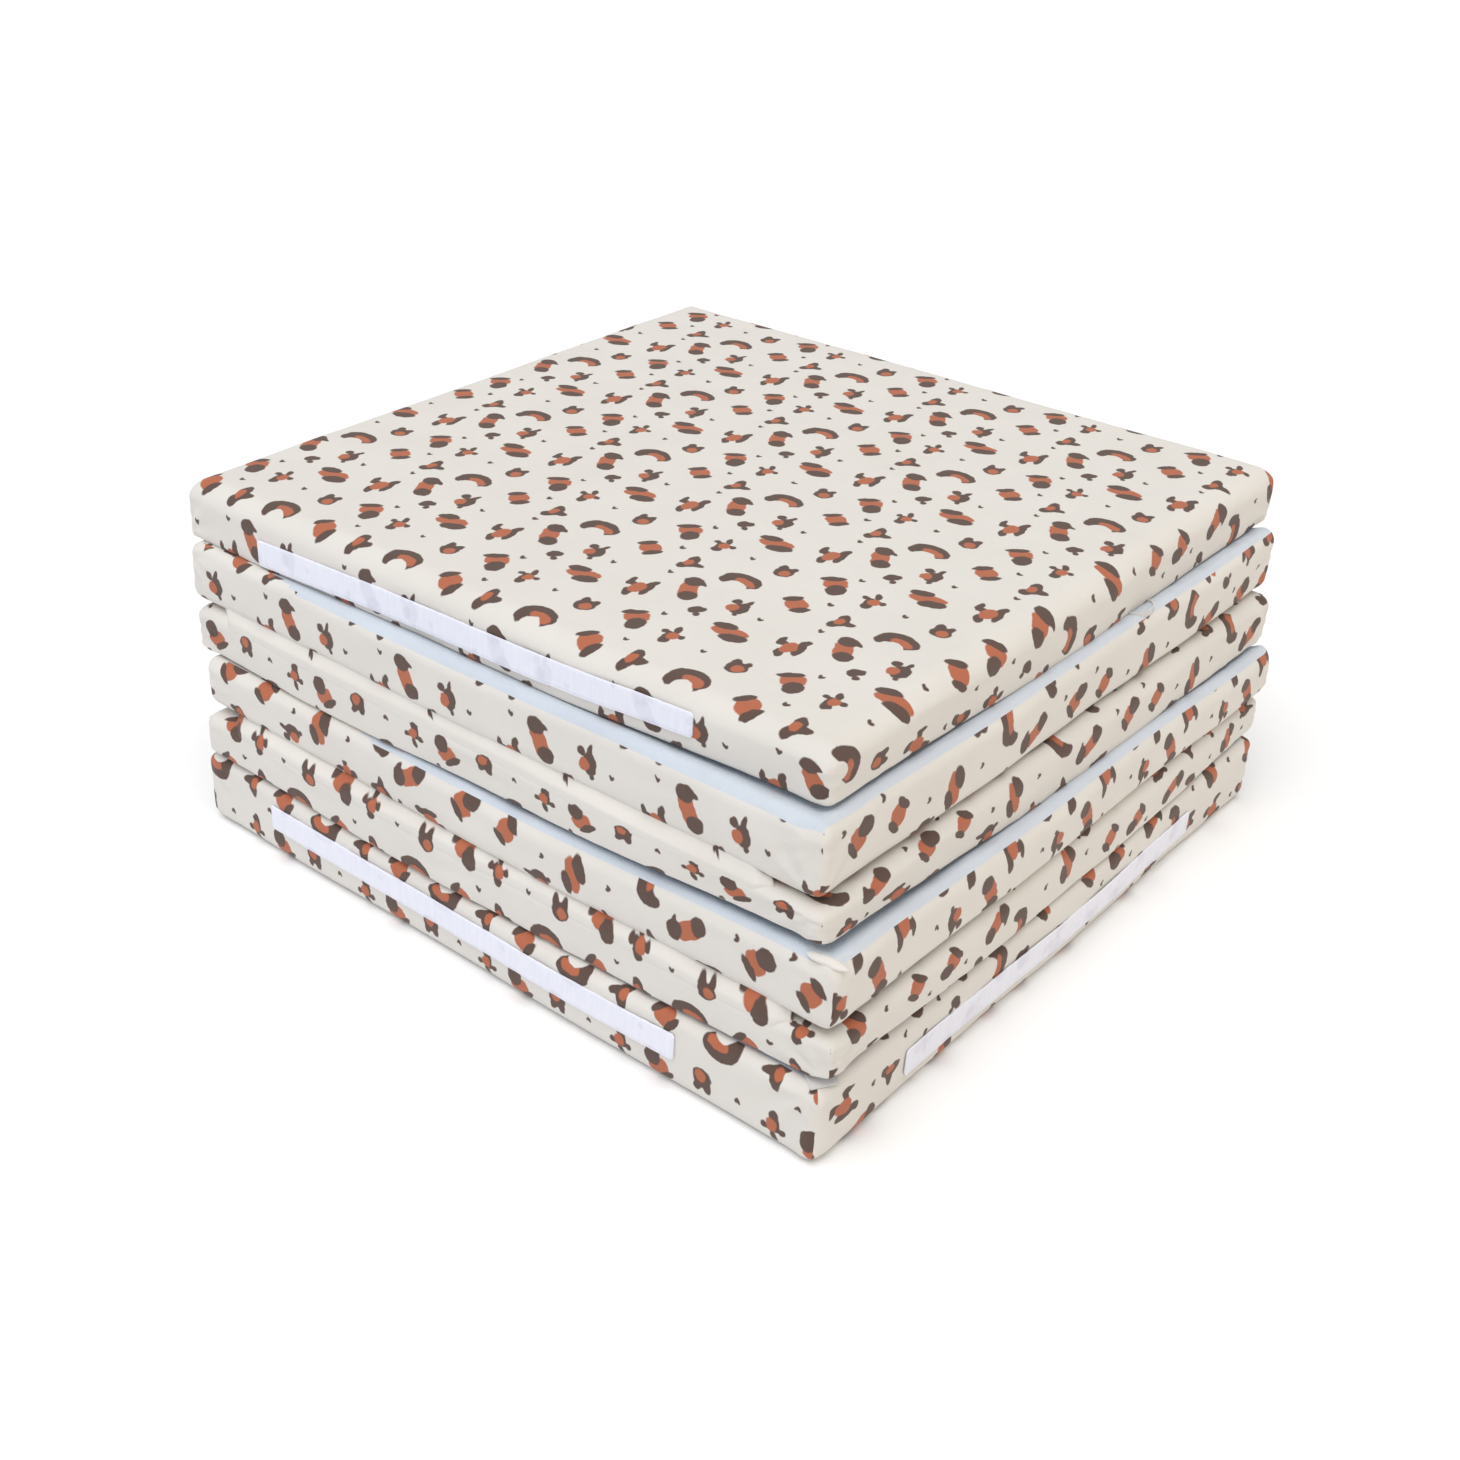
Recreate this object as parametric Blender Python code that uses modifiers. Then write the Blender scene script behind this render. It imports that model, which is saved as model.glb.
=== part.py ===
"""A padded floor mat for a baby, folded back and forth into a stack of six square panels.

Run it with blender --background --python part.py, or from Blender's text editor.
Units are metres, +Z is up, and the origin is at the middle of the stack's footprint, on the floor.
The front side faces -Y and the right side faces +X, so the near corner is the +X, -Y one.
"""
import math
from collections import namedtuple

import bmesh
import bpy

MM = 0.001

# Driving dimensions of one panel
SIDE = 600 * MM
HALF = SIDE / 2
RIM = 26 * MM
PRINT_EDGE = 26 * MM
BASE_EDGE = 13 * MM
MID_LINES = (190 * MM, 64 * MM)
CORNER_PUSH = 1.5 * MM
SIDE_BULGE = 1.5 * MM
SIDE_WAVE = 1.0 * MM
WAVE_LENGTH = 310 * MM
LIFT_STARTS = 0.15
TOP_CROWN = 2.5 * MM

# Trim
CLEAR = 0.6 * MM
TAPE_WIDTH = 20 * MM
TAPE_THICK = 1.2 * MM
TAPE_STEPS = 24
HINGE_THICK = 1.0 * MM
HINGE_STEPS = 24
RIBBON_THICK = 0.8 * MM
RIBBON_STEPS = 4
LOOP_STEPS = 14

# Middle of the stack's footprint, measured where the tables below have their zero
MIDDLE_EAST = 1.0 * MM
MIDDLE_NORTH = -2.1 * MM

# One row for each panel, from the top of the stack down. east and north place its middle, turn is
# in degrees, underside and top are heights over the floor at its middle. The last two columns say
# how far the edge rises, underside and top, at the near, right, back and left corners. Lengths in mm.
Panel = namedtuple("Panel", "name east north turn underside top print_up under_rise top_rise")
PANELS = (
    Panel("panel_1", -18.0, 15.2, 0.00, 228.0, 276.5, True, (8, 1, 0, -2), (0, 0, 0, 0)),
    Panel("panel_2", -5.6, 2.3, -0.54, 179.5, 227.7, False, (2, 0, 0, 0), (7, -1, 0, -4)),
    Panel("panel_3", 2.0, -2.7, -0.65, 138.0, 179.2, True, (12, -2, 1, 4), (0, -1, 0, -1)),
    Panel("panel_4", 14.8, -7.8, -0.38, 95.5, 137.7, False, (3, -2, 0, 4), (10, -7, 0, 2)),
    Panel("panel_5", 15.8, -13.2, 0.11, 55.0, 95.2, True, (8, 5, 3, 7), (-1, -4, 0, 0)),
    Panel("panel_6", 17.0, -16.6, -0.46, 0.0, 54.7, False, (0, 0, 0, 0), (6, 2, 2, 5)),
)

# Hook-and-loop tapes: the panel and side they are sewn to, where they start and end along that
# side from its middle, and the height of their lower edge over the panel's underside at each end.
Tape = namedtuple("Tape", "name panel side start end low_start low_end")
TAPES = (
    Tape("tape_top_front", 0, "front", -214, 197, 3.5, 14.5),
    Tape("tape_base_front", 5, "front", -219, 186, 23.5, 23.0),
    Tape("tape_base_right", 5, "right", -204, 191, 15.0, 15.5),
)

# Cloth that joins two panels: the upper panel's place in the stack, the side it runs along, where it
# starts and ends, half the height of the crease that it closes, and how deep in it it lies. In mm.
Hinge = namedtuple("Hinge", "name upper side start end reach inset")
HINGES = (
    Hinge("hinge_1_2", 0, "back", -255, 255, 1.8, 2.0),
    Hinge("hinge_2_3", 1, "front", -262, 256, 5.2, 1.7),
    Hinge("hinge_3_4", 2, "back", -255, 255, 1.8, 2.0),
    Hinge("hinge_4_5", 3, "front", -262, 256, 5.2, 1.7),
    Hinge("hinge_5_6", 4, "back", -255, 255, 1.8, 2.0),
)

# Flat ribbon ends that stick out between two panels: the two corners of the sewn end, the two of
# the free end, and how far the middle rises over the straight line between them. Lengths in mm.
Ribbon = namedtuple("Ribbon", "name root_left root_right tip_left tip_right rise")
RIBBONS = (
    Ribbon("ribbon_3_4", (-7.0, -297.6, 138.2), (3.0, -297.6, 138.2),
           (-6.4, -305.0, 137.4), (3.6, -305.0, 137.4), 0.2),
    Ribbon("ribbon_5_6", (292.9, -307.0, 61.6), (303.4, -293.1, 61.6),
           (306.3, -316.0, 59.2), (313.7, -302.2, 59.9), 0.8),
)

# A small ribbon loop sewn to the right side of the top panel, half an ellipse in plan. Lengths in mm.
Loop = namedtuple("Loop", "name east north reach half_length low high")
LOOP = Loop("loop_1_2", 283.4, 95.0, 8.0, 14.0, 228.6, 232.4)

COLOURS = {
    "print_cloth": (0.80, 0.76, 0.69, 1.0),
    "hook_tape": (0.80, 0.82, 0.92, 1.0),
    "base_cloth": (0.60, 0.68, 0.77, 1.0),
}

SIDE_NORMALS = {"front": (0, -1), "right": (1, 0), "back": (0, 1), "left": (-1, 0)}


def cloth_material(name):
    """A matt cloth in one of the mat's three colours."""
    material = bpy.data.materials.get(name)
    if material is None:
        material = bpy.data.materials.new(name)
        material.use_nodes = True
        shader = material.node_tree.nodes["Principled BSDF"]
        shader.inputs["Base Color"].default_value = COLOURS[name]
        shader.inputs["Roughness"].default_value = 0.85
        shader.inputs["Metallic"].default_value = 0.0
    return material


def smooth_ramp(value):
    """0 below LIFT_STARTS, 1 at 1, with a soft start and end."""
    t = min(max((value - LIFT_STARTS) / (1 - LIFT_STARTS), 0.0), 1.0)
    return t * t * (3 - 2 * t)


def corner_rise(x, y, rises):
    """Height that the four corners' rises add at a point of a panel, nothing at its middle."""
    near, right, back, left = rises
    u, v = x / HALF, y / HALF
    east, west = smooth_ramp(u), smooth_ramp(-u)
    north, south = smooth_ramp(v), smooth_ramp(-v)
    return (near * east * south + right * east * north + back * west * north + left * west * south) * MM


def cage_swell(index, side, along, bulging):
    """How far a side stands out: a slow wave of its own, and a low bulge between its two edges."""
    number = list(SIDE_NORMALS).index(side)
    phase = 2.4 * index + 1.7 * number
    bulge = SIDE_BULGE * (1 - (along / HALF) ** 2) if bulging else 0.0
    return bulge + SIDE_WAVE * math.sin(2 * math.pi * along / WAVE_LENGTH + phase)


def cage_lines():
    """Where the cage is cut along a side, from one end to the other."""
    inner = sorted(MID_LINES + (HALF - RIM,))
    return [-line for line in reversed(inner)] + inner


def side_swell(index, side, along, bulging=True):
    """The same swell read between the cage's lines, where the cover runs almost straight."""
    lines = cage_lines()
    for start, end in zip(lines, lines[1:]):
        if start <= along <= end:
            share = (along - start) / (end - start)
            first, last = (cage_swell(index, side, line, bulging) for line in (start, end))
            return (1 - share) * first + share * last
    return cage_swell(index, side, along, bulging)


def panel_cage(index, panel):
    """A box cut at the edge and middle lines, its points moved to the panel's soft outline."""
    thick = (panel.top - panel.underside) * MM
    low, high = (BASE_EDGE, PRINT_EDGE) if panel.print_up else (PRINT_EDGE, BASE_EDGE)
    cage = bmesh.new()
    bmesh.ops.create_cube(cage, size=1.0)
    for vert in cage.verts:
        vert.co.x *= SIDE
        vert.co.y *= SIDE
        vert.co.z = (vert.co.z + 0.5) * thick
    cuts = [((line, 0, 0), (1, 0, 0)) for line in cage_lines()]
    cuts += [((0, line, 0), (0, 1, 0)) for line in cage_lines()]
    cuts += [((0, 0, low), (0, 0, 1)), ((0, 0, thick - high), (0, 0, 1))]
    for place, normal in cuts:
        geometry = cage.verts[:] + cage.edges[:] + cage.faces[:]
        bmesh.ops.bisect_plane(cage, geom=geometry, plane_co=place, plane_no=normal)
    for vert in cage.verts:
        soften(vert, index, panel, thick)
    return cage


def soften(vert, index, panel, thick):
    """Move one point of the cage: swell the sides, fill the corners, raise the edges, crown the top."""
    x, y, z = vert.co
    on_x, on_y = abs(x) > HALF - MM, abs(y) > HALF - MM
    bulging = MM < z < thick - MM
    share = z / thick
    shift_x = shift_y = 0.0
    if on_x:
        shift_x = math.copysign(1, x) * cage_swell(index, "right" if x > 0 else "left", y, bulging)
    if on_y:
        shift_y = math.copysign(1, y) * cage_swell(index, "back" if y > 0 else "front", x, bulging)
    if on_x and on_y:
        shift_x, shift_y = math.copysign(CORNER_PUSH, x), math.copysign(CORNER_PUSH, y)
    rise = (1 - share) * corner_rise(x, y, panel.under_rise) + share * corner_rise(x, y, panel.top_rise)
    if index == 0 and z > thick - MM:
        rise -= TOP_CROWN * (1 - (1 - (x / HALF) ** 2) * (1 - (y / HALF) ** 2))
    vert.co = (x + shift_x, y + shift_y, z + rise)


def place_like_panel(item, panel):
    """Put an object in the panel's own frame."""
    item.location = (panel.east * MM - MIDDLE_EAST, panel.north * MM - MIDDLE_NORTH, panel.underside * MM)
    item.rotation_euler = (0, 0, math.radians(panel.turn))


def new_object(name, mesh, material, collection):
    """An object of the mat's collection with one material and smooth faces."""
    mesh.materials.append(cloth_material(material))
    item = bpy.data.objects.new(name, mesh)
    collection.objects.link(item)
    return item


def build_panel(index, panel, collection):
    """One foam panel in its cover."""
    cage = panel_cage(index, panel)
    mesh = bpy.data.meshes.new(panel.name)
    cage.to_mesh(mesh)
    cage.free()
    item = new_object(panel.name, mesh, "print_cloth", collection)
    round_off = item.modifiers.new("soft_edges", "SUBSURF")
    round_off.levels = round_off.render_levels = 1
    place_like_panel(item, panel)
    return item


def sheet(name, rows, thickness, material, collection):
    """A strip of cloth: the quads between rows of points, given their thickness by Solidify."""
    points = [point for row in rows for point in row]
    width = len(rows[0])
    quads = [
        (r * width + c, r * width + c + 1, (r + 1) * width + c + 1, (r + 1) * width + c)
        for r in range(len(rows) - 1)
        for c in range(width - 1)
    ]
    mesh = bpy.data.meshes.new(name)
    mesh.from_pydata(points, [], quads)
    item = new_object(name, mesh, material, collection)
    wall = item.modifiers.new("thickness", "SOLIDIFY")
    wall.thickness = thickness
    wall.offset = 0.0
    return item


def on_side(side, along, height, outward):
    """A point beside a panel's side, in the panel's own frame."""
    normal_x, normal_y = SIDE_NORMALS[side]
    reach = HALF + outward
    if side in ("front", "back"):
        return (along, normal_y * reach, height)
    return (normal_x * reach, along, height)


def build_tape(tape, collection):
    """A hook-and-loop tape that lies on a panel's side and follows its wave."""
    panel = PANELS[tape.panel]
    rows = []
    for step in range(TAPE_STEPS + 1):
        share = step / TAPE_STEPS
        along = (tape.start + share * (tape.end - tape.start)) * MM
        low = (tape.low_start + share * (tape.low_end - tape.low_start)) * MM
        outward = side_swell(tape.panel, tape.side, along) + CLEAR + TAPE_THICK / 2
        rows.append([on_side(tape.side, along, low + lift, outward) for lift in (0, TAPE_WIDTH)])
    item = sheet(tape.name, rows, TAPE_THICK, "hook_tape", collection)
    place_like_panel(item, panel)
    return item


def in_stack(east, north, height):
    """A point of the tables' frame, in metres, moved to the stack's frame."""
    return (east - MIDDLE_EAST, north - MIDDLE_NORTH, height)


def on_rim(index, hinge, along, underside):
    """A point in the crease at a panel's upper or lower edge, in the stack's frame."""
    panel = PANELS[index]
    outward = side_swell(index, hinge.side, along, bulging=False) - hinge.inset * MM
    x, y, _ = on_side(hinge.side, along, 0.0, outward)
    turn = math.radians(panel.turn)
    east = panel.east * MM + x * math.cos(turn) - y * math.sin(turn)
    north = panel.north * MM + x * math.sin(turn) + y * math.cos(turn)
    if underside:
        height = (panel.underside + hinge.reach) * MM + corner_rise(x, y, panel.under_rise)
    else:
        height = (panel.top - hinge.reach) * MM + corner_rise(x, y, panel.top_rise)
    return in_stack(east, north, height)


def build_hinge(hinge, collection):
    """The strip of cloth in the crease between two panels that are folded onto each other."""
    material = "base_cloth" if hinge.side == "back" else "print_cloth"
    rows = []
    for step in range(HINGE_STEPS + 1):
        along = (hinge.start + (hinge.end - hinge.start) * step / HINGE_STEPS) * MM
        upper = on_rim(hinge.upper, hinge, along, True)
        lower = on_rim(hinge.upper + 1, hinge, along, False)
        middle = tuple((a + b) / 2 for a, b in zip(upper, lower))
        rows.append([upper, middle, lower])
    return sheet(hinge.name, rows, HINGE_THICK, material, collection)


def build_ribbon(ribbon, collection):
    """A short flat ribbon end, a little arched between its sewn end and its free end."""
    rows = []
    for step in range(RIBBON_STEPS + 1):
        share = step / RIBBON_STEPS
        arch = ribbon.rise * math.sin(math.pi * share)
        row = []
        for root, tip in ((ribbon.root_left, ribbon.tip_left), (ribbon.root_right, ribbon.tip_right)):
            east, north, height = ((1 - share) * a + share * b for a, b in zip(root, tip))
            row.append(in_stack(east * MM, north * MM, (height + arch) * MM))
        rows.append(row)
    return sheet(ribbon.name, rows, RIBBON_THICK, "hook_tape", collection)


def build_loop(loop, collection):
    """A loop of narrow ribbon that stands on its edge and bows out from the panel's side."""
    rows = []
    for step in range(LOOP_STEPS + 1):
        angle = math.pi * step / LOOP_STEPS
        east = (loop.east + loop.reach * math.sin(angle)) * MM
        north = (loop.north - loop.half_length * math.cos(angle)) * MM
        rows.append([in_stack(east, north, height * MM) for height in (loop.low, loop.high)])
    return sheet(loop.name, rows, RIBBON_THICK, "print_cloth", collection)


def main():
    """Clear the scene and build every piece of the mat."""
    for item in list(bpy.data.objects):
        bpy.data.objects.remove(item, do_unlink=True)
    collection = bpy.data.collections.new("folded_floor_mat")
    bpy.context.scene.collection.children.link(collection)
    for index, panel in enumerate(PANELS):
        build_panel(index, panel, collection)
    for tape in TAPES:
        build_tape(tape, collection)
    for hinge in HINGES:
        build_hinge(hinge, collection)
    for ribbon in RIBBONS:
        build_ribbon(ribbon, collection)
    build_loop(LOOP, collection)


main()
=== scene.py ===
"""Looks of a folded baby play mat: six padded panels in a printed cover, with hook-and-loop tapes.

The geometry is worked out in millimetres in the stack's own frame and put into the meshes in metres.
+Z is up, the front side faces -Y and the right side faces +X, so the near corner is the +X, -Y one.
"""
from __future__ import annotations

import logging
import math
from dataclasses import dataclass
from enum import Enum

import bpy
import numpy as np
from mathutils import Matrix, Vector

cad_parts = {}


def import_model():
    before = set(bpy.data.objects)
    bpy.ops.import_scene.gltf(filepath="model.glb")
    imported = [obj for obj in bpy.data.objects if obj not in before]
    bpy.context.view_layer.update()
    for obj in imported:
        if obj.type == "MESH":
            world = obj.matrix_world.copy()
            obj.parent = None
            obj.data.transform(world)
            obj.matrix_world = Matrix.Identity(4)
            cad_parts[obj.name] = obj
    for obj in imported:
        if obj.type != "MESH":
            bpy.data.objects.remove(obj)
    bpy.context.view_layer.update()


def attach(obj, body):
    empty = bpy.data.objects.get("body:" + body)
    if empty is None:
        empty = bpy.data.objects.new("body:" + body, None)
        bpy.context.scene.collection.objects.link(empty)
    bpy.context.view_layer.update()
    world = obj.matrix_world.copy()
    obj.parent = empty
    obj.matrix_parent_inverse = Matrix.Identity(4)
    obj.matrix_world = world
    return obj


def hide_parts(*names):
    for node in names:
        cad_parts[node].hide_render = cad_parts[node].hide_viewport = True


LOG = logging.getLogger("play_mat")

MM = 0.001

# Sizes of the covers, in millimetres apart from shares and counts
HALF = 300.0
TOP_RADIUS = 17.0
PRINT_RADIUS = 10.0
TURNED_RADIUS = 8.0
TIGHT_RADIUS = 3.0
CORNER_RADIUS = 9.0
CORNER_FILL = 1.0
CORNER_SEAM = 8.0
SIDE_BULGE = 1.5
SIDE_WAVE = 1.0
WAVE_LENGTH = 310.0
LIFT_STARTS = 0.15
EDGE_SLOPE = 28.0
TOP_SLIP = 5.0
SEAM_SLIP = 14.0
SLIPPED_SEAMS = {1: (150.0, 245.0), 3: (70.0, 190.0)}
FOLD_CHART = (24.8, 110.3)
TOP_CROWN = 2.5
RIDGE_INSET = 9.0
RIDGE_WIDTH = 7.0
LOW_FOLDS = 6
SEAM_DEPTH = 0.7
SEAM_WIDTH = 1.8
PUCKER_REACH = 20.0
CLOTH_THICK = 0.9
HIDDEN_INSETS = (7.0, 12.0, 18.0, 26.0)
FRONT_RAMP = (-190, 60)
RIGHT_RAMP = (-260, 0)
MARGIN_RAMP = (-220, 60)

# The stack's middle, in the frame of the tables of panels, folds and ribbons
MIDDLE_EAST = 1.0
MIDDLE_NORTH = -2.1

Array = np.ndarray


class Side(Enum):
    """A panel's sides, counter-clockwise, with the way that each faces."""

    FRONT = (0, -1)
    RIGHT = (1, 0)
    BACK = (0, 1)
    LEFT = (-1, 0)

    @property
    def number(self) -> int:
        """The side's place in the order front, right, back, left."""
        return list(Side).index(self)

    @property
    def outward(self) -> Array:
        """The direction that the side faces, seen from above."""
        return np.array(self.value, dtype=float)

    @property
    def along(self) -> Array:
        """The direction in which the side runs, counter-clockwise seen from above."""
        return np.array((-self.value[1], self.value[0]), dtype=float)


class Slot(Enum):
    """The record's material slots."""

    PRINT = "print_cloth"
    BASE = "base_cloth"
    TAPE = "hook_tape"


def ease(value: Array, start: float, end: float) -> Array:
    """Smooth step: 0 at start, 1 at end, level at both.

    Args:
        value: where it is read.
        start: the value that gives 0.
        end: the value that gives 1.

    Returns:
        The share, between 0 and 1.
    """
    share = np.clip((value - start) / (end - start), 0.0, 1.0)
    return share * share * (3 - 2 * share)


def soft_noise(x: Array, y: Array, size: float, seed: int, waves: int = 14) -> Array:
    """Smooth noise: a sum of plane waves of about the same length in random directions.

    Args:
        x: first coordinate.
        y: second coordinate, of the same shape.
        size: the waves' mean length.
        seed: picks the pattern.
        waves: how many are added.

    Returns:
        Values of about -1 to 1.
    """
    draw = np.random.default_rng(seed)
    heading = draw.uniform(0, 2 * math.pi, waves)
    rate = 2 * math.pi / (size * draw.uniform(0.7, 1.5, waves))
    start = draw.uniform(0, 2 * math.pi, waves)
    total = np.zeros(np.broadcast(x, y).shape)
    for angle, speed, phase in zip(heading, rate, start):
        total = total + np.cos(speed * (x * math.cos(angle) + y * math.sin(angle)) + phase)
    return total / math.sqrt(waves) / 1.4


def edge_dense(count: int, share: float = 0.5) -> Array:
    """Places from -1 to 1 that lie closer together towards both ends.

    The place is (1 - share) times t plus share times the sine of a quarter turn of t.

    Args:
        count: how many gaps there are.
        share: how strong the effect is.

    Returns:
        count + 1 places.
    """
    t = np.linspace(-1, 1, count + 1)
    return (1 - share) * t + share * np.sin(math.pi / 2 * t)


def new_mesh_object(name: str, points: Array, faces: list[Array], uvs: list[Array] | None = None) -> bpy.types.Object:
    """Put points and faces into a mesh object at the origin.

    Args:
        name: the object's name.
        points: one row for each point, in millimetres.
        faces: arrays of point numbers, one row for each face, each array with faces of one size.
        uvs: the chart coordinates of each face's corners, in the faces' order.

    Returns:
        The new object, with smooth faces.
    """
    sizes = np.concatenate([np.full(len(block), block.shape[1]) for block in faces])
    corners = np.concatenate([block.reshape(-1) for block in faces])
    mesh = bpy.data.meshes.new(name)
    mesh.vertices.add(len(points))
    mesh.vertices.foreach_set("co", (points * MM).astype(np.float32).reshape(-1))
    mesh.loops.add(len(corners))
    mesh.loops.foreach_set("vertex_index", corners.astype(np.int32))
    mesh.polygons.add(len(sizes))
    mesh.polygons.foreach_set("loop_start", (np.cumsum(sizes) - sizes).astype(np.int32))
    mesh.update(calc_edges=True)
    if uvs is not None:
        chart = mesh.uv_layers.new(name="chart")
        places = np.concatenate([block.reshape(-1, 2) for block in uvs])
        chart.uv.foreach_set("vector", places.astype(np.float32).reshape(-1))
    mesh.polygons.foreach_set("use_smooth", np.ones(len(sizes), dtype=bool))
    item = bpy.data.objects.new(name, mesh)
    bpy.context.scene.collection.objects.link(item)
    return item


def grid_faces(rows: int, columns: int, start: int = 0) -> Array:
    """Quads between the points of a grid, kept row by row.

    Args:
        rows: points down.
        columns: points across.
        start: the first point's number.

    Returns:
        Four point numbers for each face, counter-clockwise where rows run down.
    """
    first = (np.arange(rows - 1)[:, None] * columns + np.arange(columns - 1)[None, :]).reshape(-1) + start
    return np.stack([first, first + columns, first + columns + 1, first + 1], axis=1)


# Shader maths


class Reading:
    """A number that varies over a surface: one node's output, with the arithmetic that the finishes use."""

    def __init__(self, bench: ShaderBench, socket: bpy.types.NodeSocket) -> None:
        """Remember the output and the bench that it stands on."""
        self.bench = bench
        self.socket = socket

    def __add__(self, other: Reading | float) -> Reading:
        """Sum."""
        return self.bench.maths("ADD", self, other)

    def __sub__(self, other: Reading | float) -> Reading:
        """Difference."""
        return self.bench.maths("SUBTRACT", self, other)

    def __rsub__(self, other: float) -> Reading:
        """Difference from a number."""
        return self.bench.maths("SUBTRACT", other, self)

    def __mul__(self, other: Reading | float) -> Reading:
        """Product."""
        return self.bench.maths("MULTIPLY", self, other)

    __radd__ = __add__
    __rmul__ = __mul__


class ShaderBench:
    """A new material and the nodes that are put into it."""

    def __init__(self, name: str) -> None:
        """Make the material with its Principled shader."""
        self.material = bpy.data.materials.new(name)
        self.material.use_nodes = True
        self.tree = self.material.node_tree
        self.shader = self.tree.nodes["Principled BSDF"]

    def node(self, kind: str, settings: dict[str, object], sockets: dict[int | str, object]) -> bpy.types.Node:
        """Add a node.

        Args:
            kind: the node's type.
            settings: its own settings, which are set first.
            sockets: values or links of its inputs.

        Returns:
            The node.
        """
        made = self.tree.nodes.new(kind)
        for key, value in settings.items():
            setattr(made, key, value)
        for key, value in sockets.items():
            self.feed(made.inputs[key], value)
        return made

    def feed(self, socket: bpy.types.NodeSocket, value: object) -> None:
        """Link a reading or an output to an input, or set the input's number."""
        if isinstance(value, Reading):
            value = value.socket
        if isinstance(value, bpy.types.NodeSocket):
            self.tree.links.new(value, socket)
        else:
            socket.default_value = value

    def maths(self, operation: str, *values: Reading | float) -> Reading:
        """One Math node as a reading."""
        made = self.node("ShaderNodeMath", {"operation": operation}, dict(enumerate(values)))
        return Reading(self, made.outputs[0])

    def vector(self, operation: str, *values: object) -> bpy.types.NodeSocket:
        """One Vector Math node that gives a vector."""
        made = self.node("ShaderNodeVectorMath", {"operation": operation}, dict(enumerate(values)))
        return made.outputs["Vector"]

    def measure(self, operation: str, *values: object) -> Reading:
        """One Vector Math node that gives a number."""
        made = self.node("ShaderNodeVectorMath", {"operation": operation}, dict(enumerate(values)))
        return Reading(self, made.outputs["Value"])

    def blend(self, share: Reading, first: object, second: object) -> bpy.types.NodeSocket:
        """Mix two colours."""
        made = self.node("ShaderNodeMix", {"data_type": "RGBA"}, {0: share, 6: first, 7: second})
        return made.outputs[2]

    def noise(self, place: object, scale: float, detail: float = 2.0) -> Reading:
        """Noise of about 0 to 1."""
        made = self.node("ShaderNodeTexNoise", {}, {"Vector": place, "Scale": scale, "Detail": detail})
        return Reading(self, made.outputs["Fac"])

    def bump(self, height: Reading, distance: float, strength: float = 1.0) -> None:
        """Let a height in units of distance, in metres, tilt the shader's normal."""
        made = self.node("ShaderNodeBump", {}, {"Strength": strength, "Distance": distance, "Height": height})
        self.feed(self.shader.inputs["Normal"], made.outputs[0])

    def finish(self, colour: object, roughness: object, sheen: float) -> bpy.types.Material:
        """Set the shader's colour, roughness and constant sheen."""
        self.feed(self.shader.inputs["Base Color"], colour)
        self.feed(self.shader.inputs["Roughness"], roughness)
        self.shader.inputs["Sheen Weight"].default_value = sheen
        self.shader.inputs["Sheen Roughness"].default_value = 0.5
        self.shader.inputs["Specular IOR Level"].default_value = 0.3
        return self.material


# The print, charted


class Ink(Enum):
    """The print's layers, in the order in which they lie on the cloth."""

    UNDER = "orange under the brown"
    BROWN = "brown"
    OVER = "orange over the brown"


@dataclass(frozen=True)
class Blob:
    """An ellipse of one ink, in millimetres from its motif's centre, turned counter-clockwise in degrees."""

    x: float
    y: float
    wide: float
    high: float
    turn: float = 0.0
    square: bool = False


@dataclass(frozen=True)
class Motif:
    """One animal spot of the repeat: its place in it, and its blobs in each layer of ink."""

    x: float
    y: float
    brown: tuple[Blob, ...]
    under: tuple[Blob, ...] = ()
    over: tuple[Blob, ...] = ()
    bare: tuple[Blob, ...] = ()

    def blobs(self, ink: Ink) -> tuple[Blob, ...]:
        """The blobs of one layer."""
        return {Ink.UNDER: self.under, Ink.BROWN: self.brown, Ink.OVER: self.over}[ink]


TICK = (Blob(-0.9, 0.3, 1.2, 2.2, 25), Blob(1.0, -0.2, 1.2, 2.0, -30))

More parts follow.
